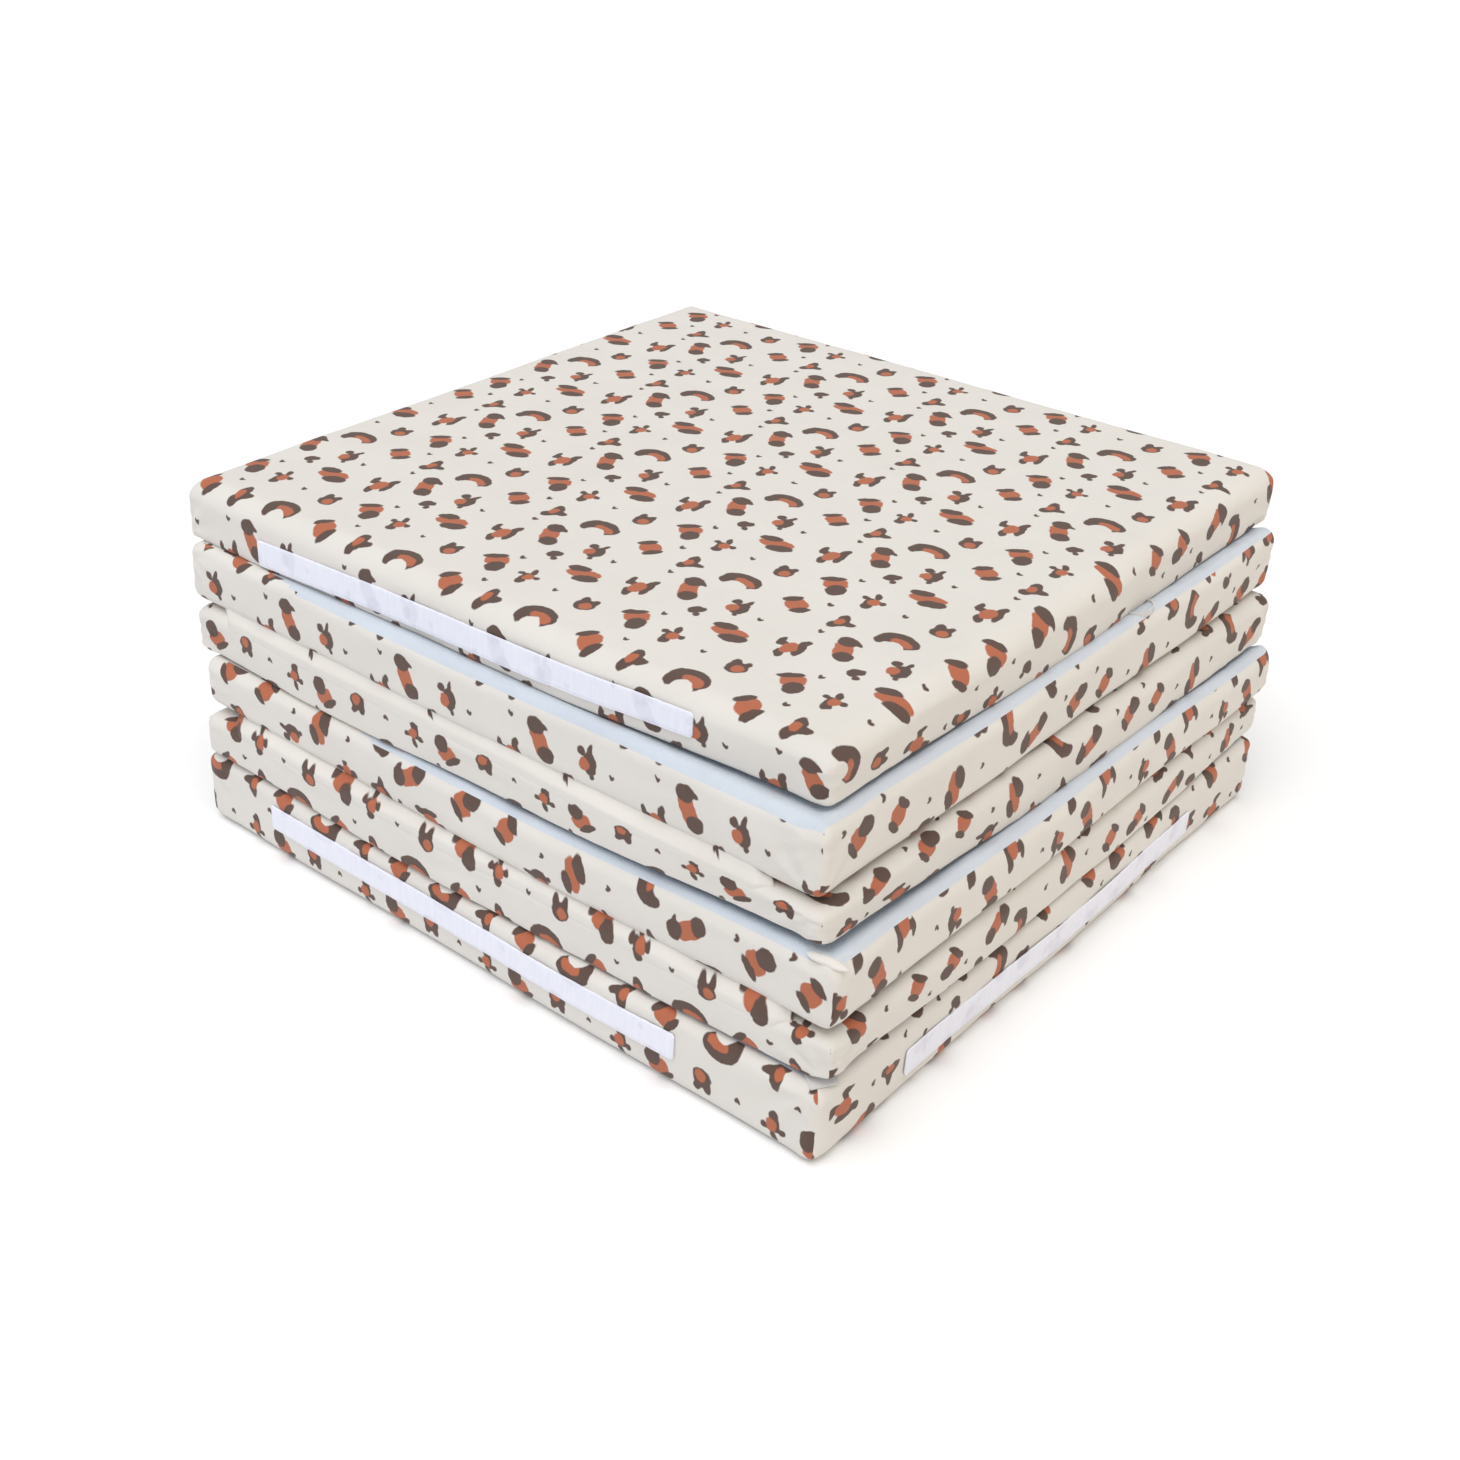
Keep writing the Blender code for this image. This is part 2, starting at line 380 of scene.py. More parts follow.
MOTIFS = (
    Motif(
        0.0, 0.0,
        (Blob(0.4, -1.7, 14.5, 10.4), Blob(-10, -6.3, 4.6, 5.5, 10), Blob(12.3, -1, 3.4, 5, 20)),
        over=(Blob(4, -3, 9, 4.5, -10),),
        bare=(Blob(1.3, -13, 8.9, 8.9),),
    ),
    Motif(
        48.1, -3.8,
        (Blob(6.4, -5.2, 7.6, 3.4, 50), Blob(-6.4, 5.0, 7.6, 3.2, 50)),
        under=(Blob(0, 0, 8.0, 8.8, 50),),
    ),
    Motif(
        85.4, -3.8,
        (Blob(-1, 2.5, 4.5, 9, 15), Blob(3, -0.5, 7.5, 3.4, 10), Blob(-3.5, -6, 4.2, 4.8, -20)),
        over=(Blob(-2.2, 0, 3.4, 4.6),),
    ),
    Motif(
        -17.3, -33.1,
        (Blob(-5.2, 8.5, 7.4, 6.3), Blob(1.2, 9.7, 4.6, 2.0, -20), Blob(4.1, -10.6, 7, 6.4)),
        under=(Blob(-1.2, -3.1, 10.5, 6.5, 118, True),),
    ),
    Motif(
        23.5, -32.7,
        (
            Blob(-6.2, 4.6, 3.6, 3.6), Blob(1.5, 6.6, 2.0, 5.2, -12),
            Blob(1.4, -2.7, 6.2, 8.2), Blob(3.9, -11.8, 2, 2),
        ),
        over=(Blob(-3.3, -4.3, 4.4, 5.0),),
    ),
    Motif(
        -46.2, -56.5,
        (
            Blob(-9.3, 5, 2.4, 6, 5), Blob(6.2, 3, 3.6, 11, 12), Blob(6.2, 12.5, 2.4, 3.5),
            Blob(-1.3, -9.5, 3.4, 6, 25), Blob(-6, 2.5, 4, 3),
        ),
        over=(Blob(0.3, -0.3, 5.4, 8),),
    ),
    Motif(
        5.8, -56.5,
        (Blob(-1.8, 0.5, 4.4, 5.6, -15), Blob(2.2, 3.2, 2.6, 3.4), Blob(3, -4.6, 2.4, 2.6)),
    ),
    Motif(
        40.4, -65.8,
        (Blob(6.6, -5.2, 10, 5.2, 22), Blob(-7.2, 5.2, 8.8, 4.4, 18)),
        under=(Blob(0.3, 0.2, 13.5, 6.2, 14),),
    ),
    Motif(
        -17.7, -92.3,
        (Blob(5.2, -5.4, 6.8, 8.1), Blob(-5.6, 7.2, 9, 3.2, 38)),
        under=(Blob(-0.15, 2.2, 8.6, 5.8, 36, True),),
    ),
    Motif(
        16.9, -93.1,
        (
            Blob(-1.7, -8.7, 3.9, 4.3), Blob(5.4, 0.4, 2.5, 2.5), Blob(-8.5, 1.0, 2.5, 2.5),
            Blob(-2.1, 6.6, 2.4, 4.6, 25), Blob(-3.7, -2.9, 2.6, 5.5), Blob(-1.5, 0.5, 6.5, 2.2),
        ),
        over=(Blob(-0.4, -1.5, 4.2, 4.6),),
    ),
    Motif(
        -54.2, -100.4,
        (Blob(0, 0, 7.5, 7.4), Blob(-4.4, 6.0, 3.2, 4.6, 10), Blob(3.3, 6.4, 2.8, 4.4, -15)),
        over=(Blob(1.4, -1.2, 4.2, 4.6),),
    ),
    Motif(65.0, 11.2, TICK),
    Motif(43.8, -38.1, TICK),
    Motif(-44.6, -23.8, TICK),
    Motif(-7.7, -74.6, TICK),
    Motif(43.8, -97.3, TICK),
)


@dataclass(frozen=True)
class PrintChart:
    """The print's repeat: the two steps after which it comes again, and the place of its first motif."""

    step_across: tuple[float, float] = (127.2, 0.5)
    step_up: tuple[float, float] = (-59.1, 127.7)
    first: tuple[float, float] = (0.8, 102.3)
    softness: float = 2.2
    wobble: float = 1.3

    def lattice(self) -> Array:
        """The matrix that turns a place in millimetres into steps of the repeat."""
        return np.linalg.inv(np.array([self.step_across, self.step_up]).T)

    def distances(self, bench: ShaderBench, chart: object) -> dict[Ink, Reading]:
        """Work out how far a point is inside each layer of ink.

        Each motif's offset is wrapped to the nearest repeat, and each blob is an ellipse whose scaled
        length less 1, times its mean radius, is a rough distance. Blobs join by a smooth minimum.

        Args:
            bench: where the nodes go.
            chart: the chart's coordinates in millimetres.

        Returns:
            For each layer, the rough distance in millimetres to its ink, below 0 inside.
        """
        rows = self.lattice()
        steps = bench.node(
            "ShaderNodeCombineXYZ", {},
            {
                0: bench.measure("DOT_PRODUCT", chart, (*rows[0], 0.0)),
                1: bench.measure("DOT_PRODUCT", chart, (*rows[1], 0.0)),
            },
        ).outputs[0]
        layers: dict[Ink, Reading] = {}
        for motif in MOTIFS:
            centre = rows @ (np.array([motif.x, motif.y]) + np.array(self.first))
            away = bench.vector("SUBTRACT", steps, (*centre, 0.0))
            near = bench.vector("WRAP", away, (0.5, 0.5, 0.5), (-0.5, -0.5, -0.5))
            place = bench.node(
                "ShaderNodeCombineXYZ", {},
                {
                    0: bench.measure("DOT_PRODUCT", near, (self.step_across[0], self.step_up[0], 0.0)),
                    1: bench.measure("DOT_PRODUCT", near, (self.step_across[1], self.step_up[1], 0.0)),
                },
            ).outputs[0]
            hole = self.joined(bench, place, motif.bare, self.softness) if motif.bare else None
            for ink in Ink:
                if not motif.blobs(ink):
                    continue
                spot = self.joined(bench, place, motif.blobs(ink), self.softness)
                if hole is not None:
                    spot = bench.maths("MAXIMUM", spot, hole * -1.0)
                layers[ink] = bench.maths("MINIMUM", layers[ink], spot) if ink in layers else spot
        return layers

    @staticmethod
    def joined(bench: ShaderBench, place: object, blobs: tuple[Blob, ...], softness: float) -> Reading:
        """Join one ink's blobs of a motif.

        Args:
            bench: where the nodes go.
            place: millimetres from the motif's centre.
            blobs: the ellipses.
            softness: how rounded the joins are, in millimetres.

        Returns:
            The rough distance to the joined shape.
        """
        total = None
        for blob in blobs:
            scaled = bench.node(
                "ShaderNodeMapping", {"vector_type": "TEXTURE"},
                {
                    "Vector": place,
                    "Location": (blob.x, blob.y, 0.0),
                    "Rotation": (0.0, 0.0, math.radians(blob.turn)),
                    "Scale": (blob.wide, blob.high, 1.0),
                },
            ).outputs[0]
            radius = math.sqrt(blob.wide * blob.high)
            reach = bench.measure("LENGTH", scaled)
            if blob.square:
                squared = bench.vector("MULTIPLY", scaled, scaled)
                reach = bench.maths("SQRT", bench.measure("LENGTH", squared))
            away = reach * radius - radius
            total = away if total is None else bench.maths("SMOOTH_MIN", total, away, softness)
        return total


@dataclass(frozen=True)
class Weave:
    """A plain weave: its thread pitch in millimetres and how much its height counts."""

    pitch: float
    relief: float

    def height(self, bench: ShaderBench, chart: object) -> Reading:
        """Crossing threads as the product of two sine waves.

        Args:
            bench: where the nodes go.
            chart: coordinates on the cloth, in millimetres.

        Returns:
            The height, about -1 to 1, times the relief.
        """
        parts = bench.node("ShaderNodeSeparateXYZ", {}, {0: chart})
        rate = 2 * math.pi / self.pitch
        across = bench.maths("SINE", Reading(bench, parts.outputs[0]) * rate)
        up = bench.maths("SINE", Reading(bench, parts.outputs[1]) * rate)
        return across * up * self.relief


@dataclass(frozen=True)
class CoverPrint:
    """The cover's outer cloth: cream with brown and orange animal spots, a fine weave and a dull face."""

    cream: tuple[float, float, float, float] = (0.735, 0.705, 0.655, 1)
    shade: tuple[float, float, float, float] = (0.695, 0.662, 0.610, 1)
    brown: tuple[float, float, float, float] = (0.105, 0.064, 0.050, 1)
    orange: tuple[float, float, float, float] = (0.450, 0.135, 0.066, 1)
    edge: float = 0.55

    def make(self) -> bpy.types.Material:
        """Build the material.

        Returns:
            The material.
        """
        bench = ShaderBench("printed_cover_cloth")
        chart = bench.node("ShaderNodeUVMap", {"uv_map": "chart"}, {}).outputs[0]
        object_place = bench.node("ShaderNodeTexCoord", {}, {}).outputs["Object"]
        repeat = PrintChart()
        blur = bench.node("ShaderNodeTexNoise", {}, {"Vector": chart, "Scale": 0.16, "Detail": 1.0})
        shifted = bench.vector("SUBTRACT", blur.outputs["Color"], (0.5, 0.5, 0.5))
        bent = bench.vector("MULTIPLY_ADD", shifted, (repeat.wobble * 2,) * 3, chart)
        layers = repeat.distances(bench, bent)
        mottle = bench.noise(object_place, 14.0, 3.0)
        cloth = bench.blend(mottle * 1.6 - 0.55, self.cream, self.shade)
        inked = cloth
        for ink in Ink:
            shade = self.brown if ink is Ink.BROWN else self.orange
            inked = bench.blend(self.inside(bench, layers[ink]), inked, shade)
        weave = Weave(0.9, 0.35).height(bench, chart)
        slub = bench.noise(object_place, 160.0, 2.0)
        crumple = bench.noise(object_place, 30.0, 2.0)
        bench.bump(weave * 0.35 + slub * 0.5 + crumple * 2.2, 0.0006, 0.8)
        return bench.finish(inked, 0.78 + mottle * 0.12, 0.15)

    def inside(self, bench: ShaderBench, away: Reading) -> Reading:
        """Turn a rough distance into a share with a narrow soft edge."""
        made = bench.node(
            "ShaderNodeMapRange", {"interpolation_type": "SMOOTHSTEP"},
            {"Value": away, "From Min": self.edge, "From Max": -self.edge},
        )
        return Reading(bench, made.outputs[0])


@dataclass(frozen=True)
class BaseCloth:
    """The cover's inner cloth: plain pale blue, with a slightly coarser weave."""

    colour: tuple[float, float, float, float] = (0.700, 0.760, 0.830, 1)
    shade: tuple[float, float, float, float] = (0.610, 0.670, 0.750, 1)

    def make(self) -> bpy.types.Material:
        """Build the material.

        Returns:
            The material.
        """
        bench = ShaderBench("plain_base_cloth")
        place = bench.node("ShaderNodeTexCoord", {}, {}).outputs["Object"]
        chart = bench.node("ShaderNodeUVMap", {"uv_map": "chart"}, {}).outputs[0]
        mottle = bench.noise(place, 22.0, 3.0)
        weave = Weave(1.1, 0.5).height(bench, chart)
        bench.bump(weave + bench.noise(place, 60.0, 2.0) * 1.2, 0.0005, 0.8)
        return bench.finish(bench.blend(mottle * 1.5 - 0.5, self.colour, self.shade), 0.86, 0.2)


@dataclass(frozen=True)
class LoopTape:
    """White hook-and-loop tape: a smooth furry face, a woven edge, and the print faintly seen through it."""

    colour: tuple[float, float, float, float] = (0.840, 0.850, 0.930, 1)
    shade: tuple[float, float, float, float] = (0.760, 0.775, 0.880, 1)
    ghost: tuple[float, float, float, float] = (0.600, 0.590, 0.700, 1)
    half_width: float = 10.0

    def make(self) -> bpy.types.Material:
        """Build the material.

        Returns:
            The material.
        """
        bench = ShaderBench("white_loop_tape")
        own = bench.node("ShaderNodeUVMap", {"uv_map": "band"}, {}).outputs[0]
        parts = bench.node("ShaderNodeSeparateXYZ", {}, {0: own})
        along, across = Reading(bench, parts.outputs[0]), Reading(bench, parts.outputs[1])
        squeezed = bench.vector("MULTIPLY", own, (1.0, 0.12, 1.0))
        ribs = bench.noise(squeezed, 0.30, 2.0)
        fur = bench.noise(own, 2.4, 2.0)
        fine = bench.maths("SINE", along * (2 * math.pi / 1.3))
        rim = bench.node(
            "ShaderNodeMapRange", {"interpolation_type": "SMOOTHSTEP"},
            {
                "Value": bench.maths("ABSOLUTE", across),
                "From Min": self.half_width - 2.2, "From Max": self.half_width - 1.5,
            },
        ).outputs[0]
        selvedge = Reading(bench, rim)
        bench.bump(ribs * 0.8 + fur * 0.6 * (1.0 - selvedge) + fine * 0.06 - selvedge * 0.5, 0.0006, 0.7)
        chart = bench.node("ShaderNodeUVMap", {"uv_map": "chart"}, {}).outputs[0]
        face = bench.blend(ribs * 1.5 - 0.45, self.colour, self.shade)
        for away in PrintChart().distances(bench, chart).values():
            show = bench.node(
                "ShaderNodeMapRange", {"interpolation_type": "SMOOTHSTEP"},
                {"Value": away, "From Min": 1.4, "From Max": -1.4, "To Min": 0.0, "To Max": 0.28},
            ).outputs[0]
            face = bench.blend(Reading(bench, show), face, self.ghost)
        return bench.finish(face, 0.84, 0.35)


@dataclass(frozen=True)
class NarrowRibbon:
    """Cream woven ribbon of the tabs and the loop, with fine ribs across it."""

    colour: tuple[float, float, float, float] = (0.86, 0.85, 0.83, 1)
    shade: tuple[float, float, float, float] = (0.76, 0.75, 0.74, 1)

    def make(self) -> bpy.types.Material:
        """Build the material.

        Returns:
            The material.
        """
        bench = ShaderBench("woven_ribbon")
        chart = bench.node("ShaderNodeUVMap", {"uv_map": "chart"}, {}).outputs[0]
        weave = Weave(0.7, 1.0).height(bench, chart)
        bench.bump(weave, 0.00025, 0.8)
        return bench.finish(bench.blend(weave * 0.3 + 0.3, self.colour, self.shade), 0.7, 0.2)


# The panels


@dataclass(frozen=True)
class Panel:
    """One padded panel: where it lies in the stack, how its corners lift, and how the print lies on it.

    Lengths are in millimetres and turns in degrees. The rises are those of the near, right, back and
    left corners. print_turn and print_shift bring the panel's own chart onto the print's. edge_lift is
    how far the underside's edge is drawn up on each side, and margin_swell how far a base face's margin
    puffs up. seam_turn is how far the print runs on round the base face's edge on each side.
    """

    name: str
    index: int
    east: float
    north: float
    turn: float
    underside: float
    top: float
    print_up: bool
    under_rise: tuple[float, float, float, float]
    top_rise: tuple[float, float, float, float]
    print_turn: float
    print_shift: tuple[float, float]
    edge_lift: tuple[float, float, float, float]
    margin_swell: float
    seam_turn: tuple[float, float, float, float]

    @property
    def thick(self) -> float:
        """Height of the panel at its middle."""
        return self.top - self.underside

    @property
    def print_radius(self) -> float:
        """Radius of the edge around the printed face."""
        return TOP_RADIUS if self.index == 0 else PRINT_RADIUS

    @property
    def base_radius(self) -> float:
        """Radius of the edge around the base face."""
        return TIGHT_RADIUS if self.print_up else TURNED_RADIUS

    @property
    def slip(self) -> float:
        """How much cloth the seam over the printed edge takes up."""
        return TOP_SLIP if self.index == 0 else 0.0

    def on_print(self, plain: Array) -> Array:
        """Bring the panel's own chart coordinates onto the print's."""
        turn = math.radians(self.print_turn)
        spin = np.array([[math.cos(turn), -math.sin(turn)], [math.sin(turn), math.cos(turn)]])
        return plain @ spin.T + np.array(self.print_shift)

    def side_chart(self, side: Side, along: Array, height: Array) -> Array:
        """The print's coordinates on one of the panel's sides.

        The cloth runs from the printed face over its rounded edge, so a point lies HALF less 0.43 radii
        plus its distance from the printed face's level away from the panel's middle.

        Args:
            side: the side.
            along: the place along it.
            height: over the panel's underside.

        Returns:
            The coordinates.
        """
        depth = self.thick - height if self.print_up else height
        reach = HALF - (2 - math.pi / 2) * self.print_radius - self.slip + depth
        outward = side.outward
        if side in (Side.FRONT, Side.BACK):
            plain = np.stack([along, outward[1] * reach], axis=-1)
        else:
            plain = np.stack([outward[0] * reach, along + 0 * reach], axis=-1)
        return self.on_print(plain if self.print_up else plain * (1, -1))

    def corner_rise(self, x: Array, y: Array, rises: tuple[float, float, float, float]) -> Array:
        """Height that the corners' rises add, as the solid has it.

        Args:
            x: place in the panel's frame.
            y: place in the panel's frame.
            rises: of the near, right, back and left corners.

        Returns:
            The added height.
        """
        near, right, back, left = rises
        east, west = ease(x / HALF, LIFT_STARTS, 1), ease(-x / HALF, LIFT_STARTS, 1)
        north, south = ease(y / HALF, LIFT_STARTS, 1), ease(-y / HALF, LIFT_STARTS, 1)
        return near * east * south + right * east * north + back * west * north + left * west * south

    def swell(self, side: Side, along: Array, bulging: float | Array = 1.0) -> Array:
        """How far a side stands out: a slow wave of its own and a low bulge, filled at the corners.

        Args:
            side: the side.
            along: the place along x for front and back, along y for left and right.
            bulging: how much of the bulge counts.

        Returns:
            The distance outwards.
        """
        phase = 2.4 * self.index + 1.7 * side.number
        wave = SIDE_WAVE * np.sin(2 * math.pi * along / WAVE_LENGTH + phase)
        open_side = SIDE_BULGE * (1 - (along / HALF) ** 2) * bulging + wave
        at_corner = ease(np.abs(along), 262, 298)
        return open_side * (1 - at_corner) + CORNER_FILL * at_corner

    def to_stack(self, points: Array) -> Array:
        """Move points from the panel's frame to the stack's."""
        turn = math.radians(self.turn)
        x, y, z = points[..., 0], points[..., 1], points[..., 2]
        return np.stack(
            [
                self.east - MIDDLE_EAST + x * math.cos(turn) - y * math.sin(turn),
                self.north - MIDDLE_NORTH + x * math.sin(turn) + y * math.cos(turn),
                self.underside + z,
            ],
            axis=-1,
        )

    def beside(self, side: Side, along: Array, height: Array, stand_off: Array, bulging: float = 1.0) -> Array:
        """A point beside one of the panel's sides, in the stack's frame.

        Args:
            side: the side.
            along: the place along it.
            height: over the panel's underside.
            stand_off: outwards from the side's swollen surface.
            bulging: how much of the side's bulge counts.

        Returns:
            The points.
        """
        reach = HALF + self.swell(side, along, bulging) + stand_off
        normal = side.outward
        if side in (Side.FRONT, Side.BACK):
            x, y = along + 0 * reach, normal[1] * reach
        else:
            x, y = normal[0] * reach, along + 0 * reach
        share = height / self.thick
        rise = (1 - share) * self.corner_rise(x, y, self.under_rise) + share * self.corner_rise(x, y, self.top_rise)
        return self.to_stack(np.stack([x, y, height + rise], axis=-1))


@dataclass(frozen=True)
class Gather:
    """Pleats that fan out from a point on a panel's side."""

    panel: int
    side: Side
    along: float
    height: float
    reach: float
    push_out: float
    pleats: float

    def push(self, along: Array, height: Array) -> Array:
        """How far the pleats stand out.

        The sine of the angle about the point, times the number of pleats, fades with the distance.

        Args:
            along: place along the side.
            height: over the panel's underside.

        Returns:
            The distance outwards.
        """
        away = np.hypot(along - self.along, height - self.height)
        angle = np.arctan2(height - self.height, np.abs(along - self.along) + 0.01)
        fade = np.exp(-((away / self.reach) ** 2)) * ease(away, 2.0, 12.0)
        return self.push_out * fade * np.sin(self.pleats * angle + self.along)


GATHERS = (
    Gather(0, Side.FRONT, -300, 6, 30, 1.12, 9),
    Gather(0, Side.RIGHT, 296, 8, 34, 1.12, 9),
    Gather(0, Side.RIGHT, -298, 5, 26, 0.7, 9),
    Gather(1, Side.FRONT, 292, 4, 46, 1.4, 9),
    Gather(1, Side.FRONT, 293, 38, 30, 0.84, 10),
    Gather(1, Side.FRONT, -298, 40, 34, 1.12, 9),
    Gather(1, Side.RIGHT, -296, 4, 36, 0.98, 9),
    Gather(1, Side.RIGHT, 296, 30, 34, 1.12, 9),
    Gather(2, Side.FRONT, 292, 36, 42, 1.26, 9),
    Gather(2, Side.RIGHT, 296, 10, 40, 1.26, 9),
    Gather(2, Side.FRONT, -297, 20, 30, 0.98, 9),
    Gather(3, Side.FRONT, 294, 32, 30, 0.84, 9),
    Gather(3, Side.RIGHT, -296, 32, 34, 0.98, 9),
    Gather(4, Side.FRONT, 294, 4, 36, 1.12, 9),
    Gather(4, Side.RIGHT, -296, 6, 34, 0.98, 9),
    Gather(5, Side.FRONT, 292, 50, 44, 1.26, 9),
    Gather(5, Side.RIGHT, -294, 50, 44, 1.26, 9),
    Gather(5, Side.FRONT, -297, 44, 30, 0.84, 9),
)


@dataclass(frozen=True)
class CornerFold:
    """A small fold of cover cloth at a corner: a flattened roll between two points of the tables' frame."""

    panel: int
    start: tuple[float, float, float]
    end: tuple[float, float, float]
    wide: float
    high: float
    steps: int = 20
    around: int = 16

    def surface(self) -> tuple[Array, Array]:
        """The roll's points and quads: ellipses along the line, drawn in to a point at both ends.

        Returns:
            Points in the stack's frame, and faces.
        """
        turns = np.linspace(0, 2 * math.pi, self.around, endpoint=False)
        share, angle = np.meshgrid(np.linspace(0.0, 1.0, self.steps + 1), turns, indexing="ij")
        first, last = np.array(self.start), np.array(self.end)
        run = (last - first) / np.linalg.norm(last - first)
        side = np.cross((0, 0, 1), run)
        side = side / np.linalg.norm(side)
        plump = np.sqrt(np.maximum(np.sin(math.pi * np.clip(share, 0.004, 0.996)), 0.0)) * (1 - 0.25 * share)
        wave = 1 + 0.12 * np.sin(9 * share + 2 * angle)
        points = first + (last - first) * share[..., None]
        points = points + side * (self.wide * plump * wave * np.cos(angle))[..., None]
        points = points + np.array((0, 0, 1)) * (self.high * plump * wave * np.sin(angle))[..., None]
        points = points - np.array([MIDDLE_EAST, MIDDLE_NORTH, 0])
        numbers = np.arange(points.shape[0] * self.around).reshape(-1, self.around)
        after = np.roll(numbers, -1, axis=1)
        quads = np.stack([numbers[:-1], after[:-1], after[1:], numbers[1:]], axis=-1).reshape(-1, 4)
        return points.reshape(-1, 3), quads


FOLDS = (CornerFold(3, (289.0, -306.5, 150.2), (316.5, -302.0, 148.0), 4.6, 3.2),)


@dataclass
class PanelMaker:
    """Makes a panel's cover: rings down its sides, a printed face and a base face.

    A ring is a square with rounded corners. Rings run from the printed face over an arc of the
    panel's print_radius, down the side and over an arc of its base_radius to the base face. The panel
    is made with its printed face up, and turned over about X where it lies face down.
    """

    panel: Panel
    columns: int = 110
    coarse: int = 22
    ring_gap: float = 3.0
    coarse_inset: float = 36.0

    def profile(self) -> tuple[Array, Array, Array, Array]:
        """The rings: inset from the side, height, tilt of the normal, and distance along the cloth.

        Returns:
            Inset from the side, height, angle from the printed face's normal, and unfolded distance
            from the panel's middle, one value for each ring.
        """
        thick, wide, tight = self.panel.thick, self.panel.print_radius, self.panel.base_radius
        arc, tail = wide * math.pi / 2, tight * math.pi / 2
        wall = thick - wide - tight
        first = np.linspace(0, math.pi / 2, 1 + round(arc / self.ring_gap))
        last = np.linspace(math.pi / 2, math.pi, 1 + max(3, round(tail / 2.4)))[1:]
        down = np.linspace(0, wall, 1 + max(3, round(wall / self.ring_gap)))[1:]
        inset = [wide * (1 - np.sin(first)), 0 * down, tight * (1 - np.sin(last))]
        height = [thick - wide * (1 - np.cos(first)), thick - wide - down, tight * (1 + np.cos(last))]
        angle = [first, 0 * down + math.pi / 2, last]
        start, taken = HALF - wide, self.panel.slip
        turned = start + wide * first - taken * first / (math.pi / 2)
        cloth = [turned, start + arc - taken + down, start + arc - taken + wall + tight * (last - math.pi / 2)]
        return tuple(np.concatenate(part) for part in (inset, height, angle, cloth))

    def ring(self, inset: Array, angle: Array, places: Array) -> tuple[Array, Array, Array]:
        """One side's share of the rings, from corner to corner.

        A place's arc length is split into the straight run and up to an eighth of the corner's circle.

        Args:
            inset: of each ring, from the side.
            angle: of each ring's normal from the printed face's.
            places: from -1 to 1 along the side.

        Returns:
            Distance along the side, distance out, and arc length, each ring by place.
        """
        half = (HALF - inset)[:, None]
        radius = (CORNER_RADIUS * np.sin(angle))[:, None] + 1e-6
        length = half - radius + radius * math.pi / 4
        arc = places[None, :] * length
        beyond = np.maximum(np.abs(arc) - (half - radius), 0.0) / radius
        along = np.sign(arc) * (np.minimum(np.abs(arc), half - radius) + radius * np.sin(beyond))
        out = half - radius + radius * np.cos(beyond)
        return along, out, arc

    def build(self) -> tuple[Array, list[Array], list[Array], list[Array], Array]:
        """Lay out the points, faces and charts of the panel with its printed face up.

        Returns:
            Points, blocks of faces, their corners' chart coordinates, which faces are printed, and the
            rings' normals.
        """
        inset, height, angle, cloth = self.profile()
        places = edge_dense(self.columns)
        rings, count = len(inset), self.columns
        along, out, arc = self.ring(inset, angle, places)
        points = np.zeros((rings, 4, count, 3))
        facing = np.zeros((rings, 4, count, 3))
        total = 4 * count
        numbers = np.arange(rings * total).reshape(rings, total)
        faces, uvs, printed = [], [], []
        mean_angle = (angle[:-1] + angle[1:]) / 2
        for side in Side:
            k = side.number
            points[:, k, :, :2] = along[:, :-1, None] * side.along + out[:, :-1, None] * side.outward
            points[:, k, :, 2] = height[:, None]
            facing[:, k, :, :2] = side.outward * np.sin(angle)[:, None, None]
            facing[:, k, :, 2] = np.cos(angle)[:, None]
            columns = (np.arange(count + 1) + k * count) % total
            upper, lower = numbers[:-1][:, columns], numbers[1:][:, columns]
            block = np.stack([upper[:, :-1], lower[:, :-1], lower[:, 1:], upper[:, 1:]], axis=-1)
            chart = arc[:, :, None] * side.along + cloth[:, None, None] * side.outward
            top, low = chart[:-1], chart[1:]
            corner = np.stack([top[:, :-1], low[:, :-1], low[:, 1:], top[:, 1:]], axis=2)
            faces.append(block.reshape(-1, 4))
            uvs.append(corner.reshape(-1, 4, 2))
            real = k if self.panel.print_up or k % 2 else 2 - k
            last_print = math.pi / 2 + math.radians(self.panel.seam_turn[real])
            printed.append(np.repeat(mean_angle < last_print, count))
        ring_points = points.reshape(rings * total, 3)
        everything = [ring_points]
        for top in (True, False):
            start = sum(len(part) for part in everything)
            rim = numbers[0] if top else numbers[-1]
            make = self.fine_face if top and self.panel.index == 0 else self.rough_face
            more, blocks = make(rim, start, self.panel.thick if top else 0.0, places, top)
            everything.append(more)
            faces += blocks
            printed += [np.full(len(block), top) for block in blocks]
        all_points = np.concatenate(everything)
        uvs += [all_points[block][..., :2] for block in faces[4:]]
        return all_points, faces, uvs, printed, facing.reshape(-1, 3)

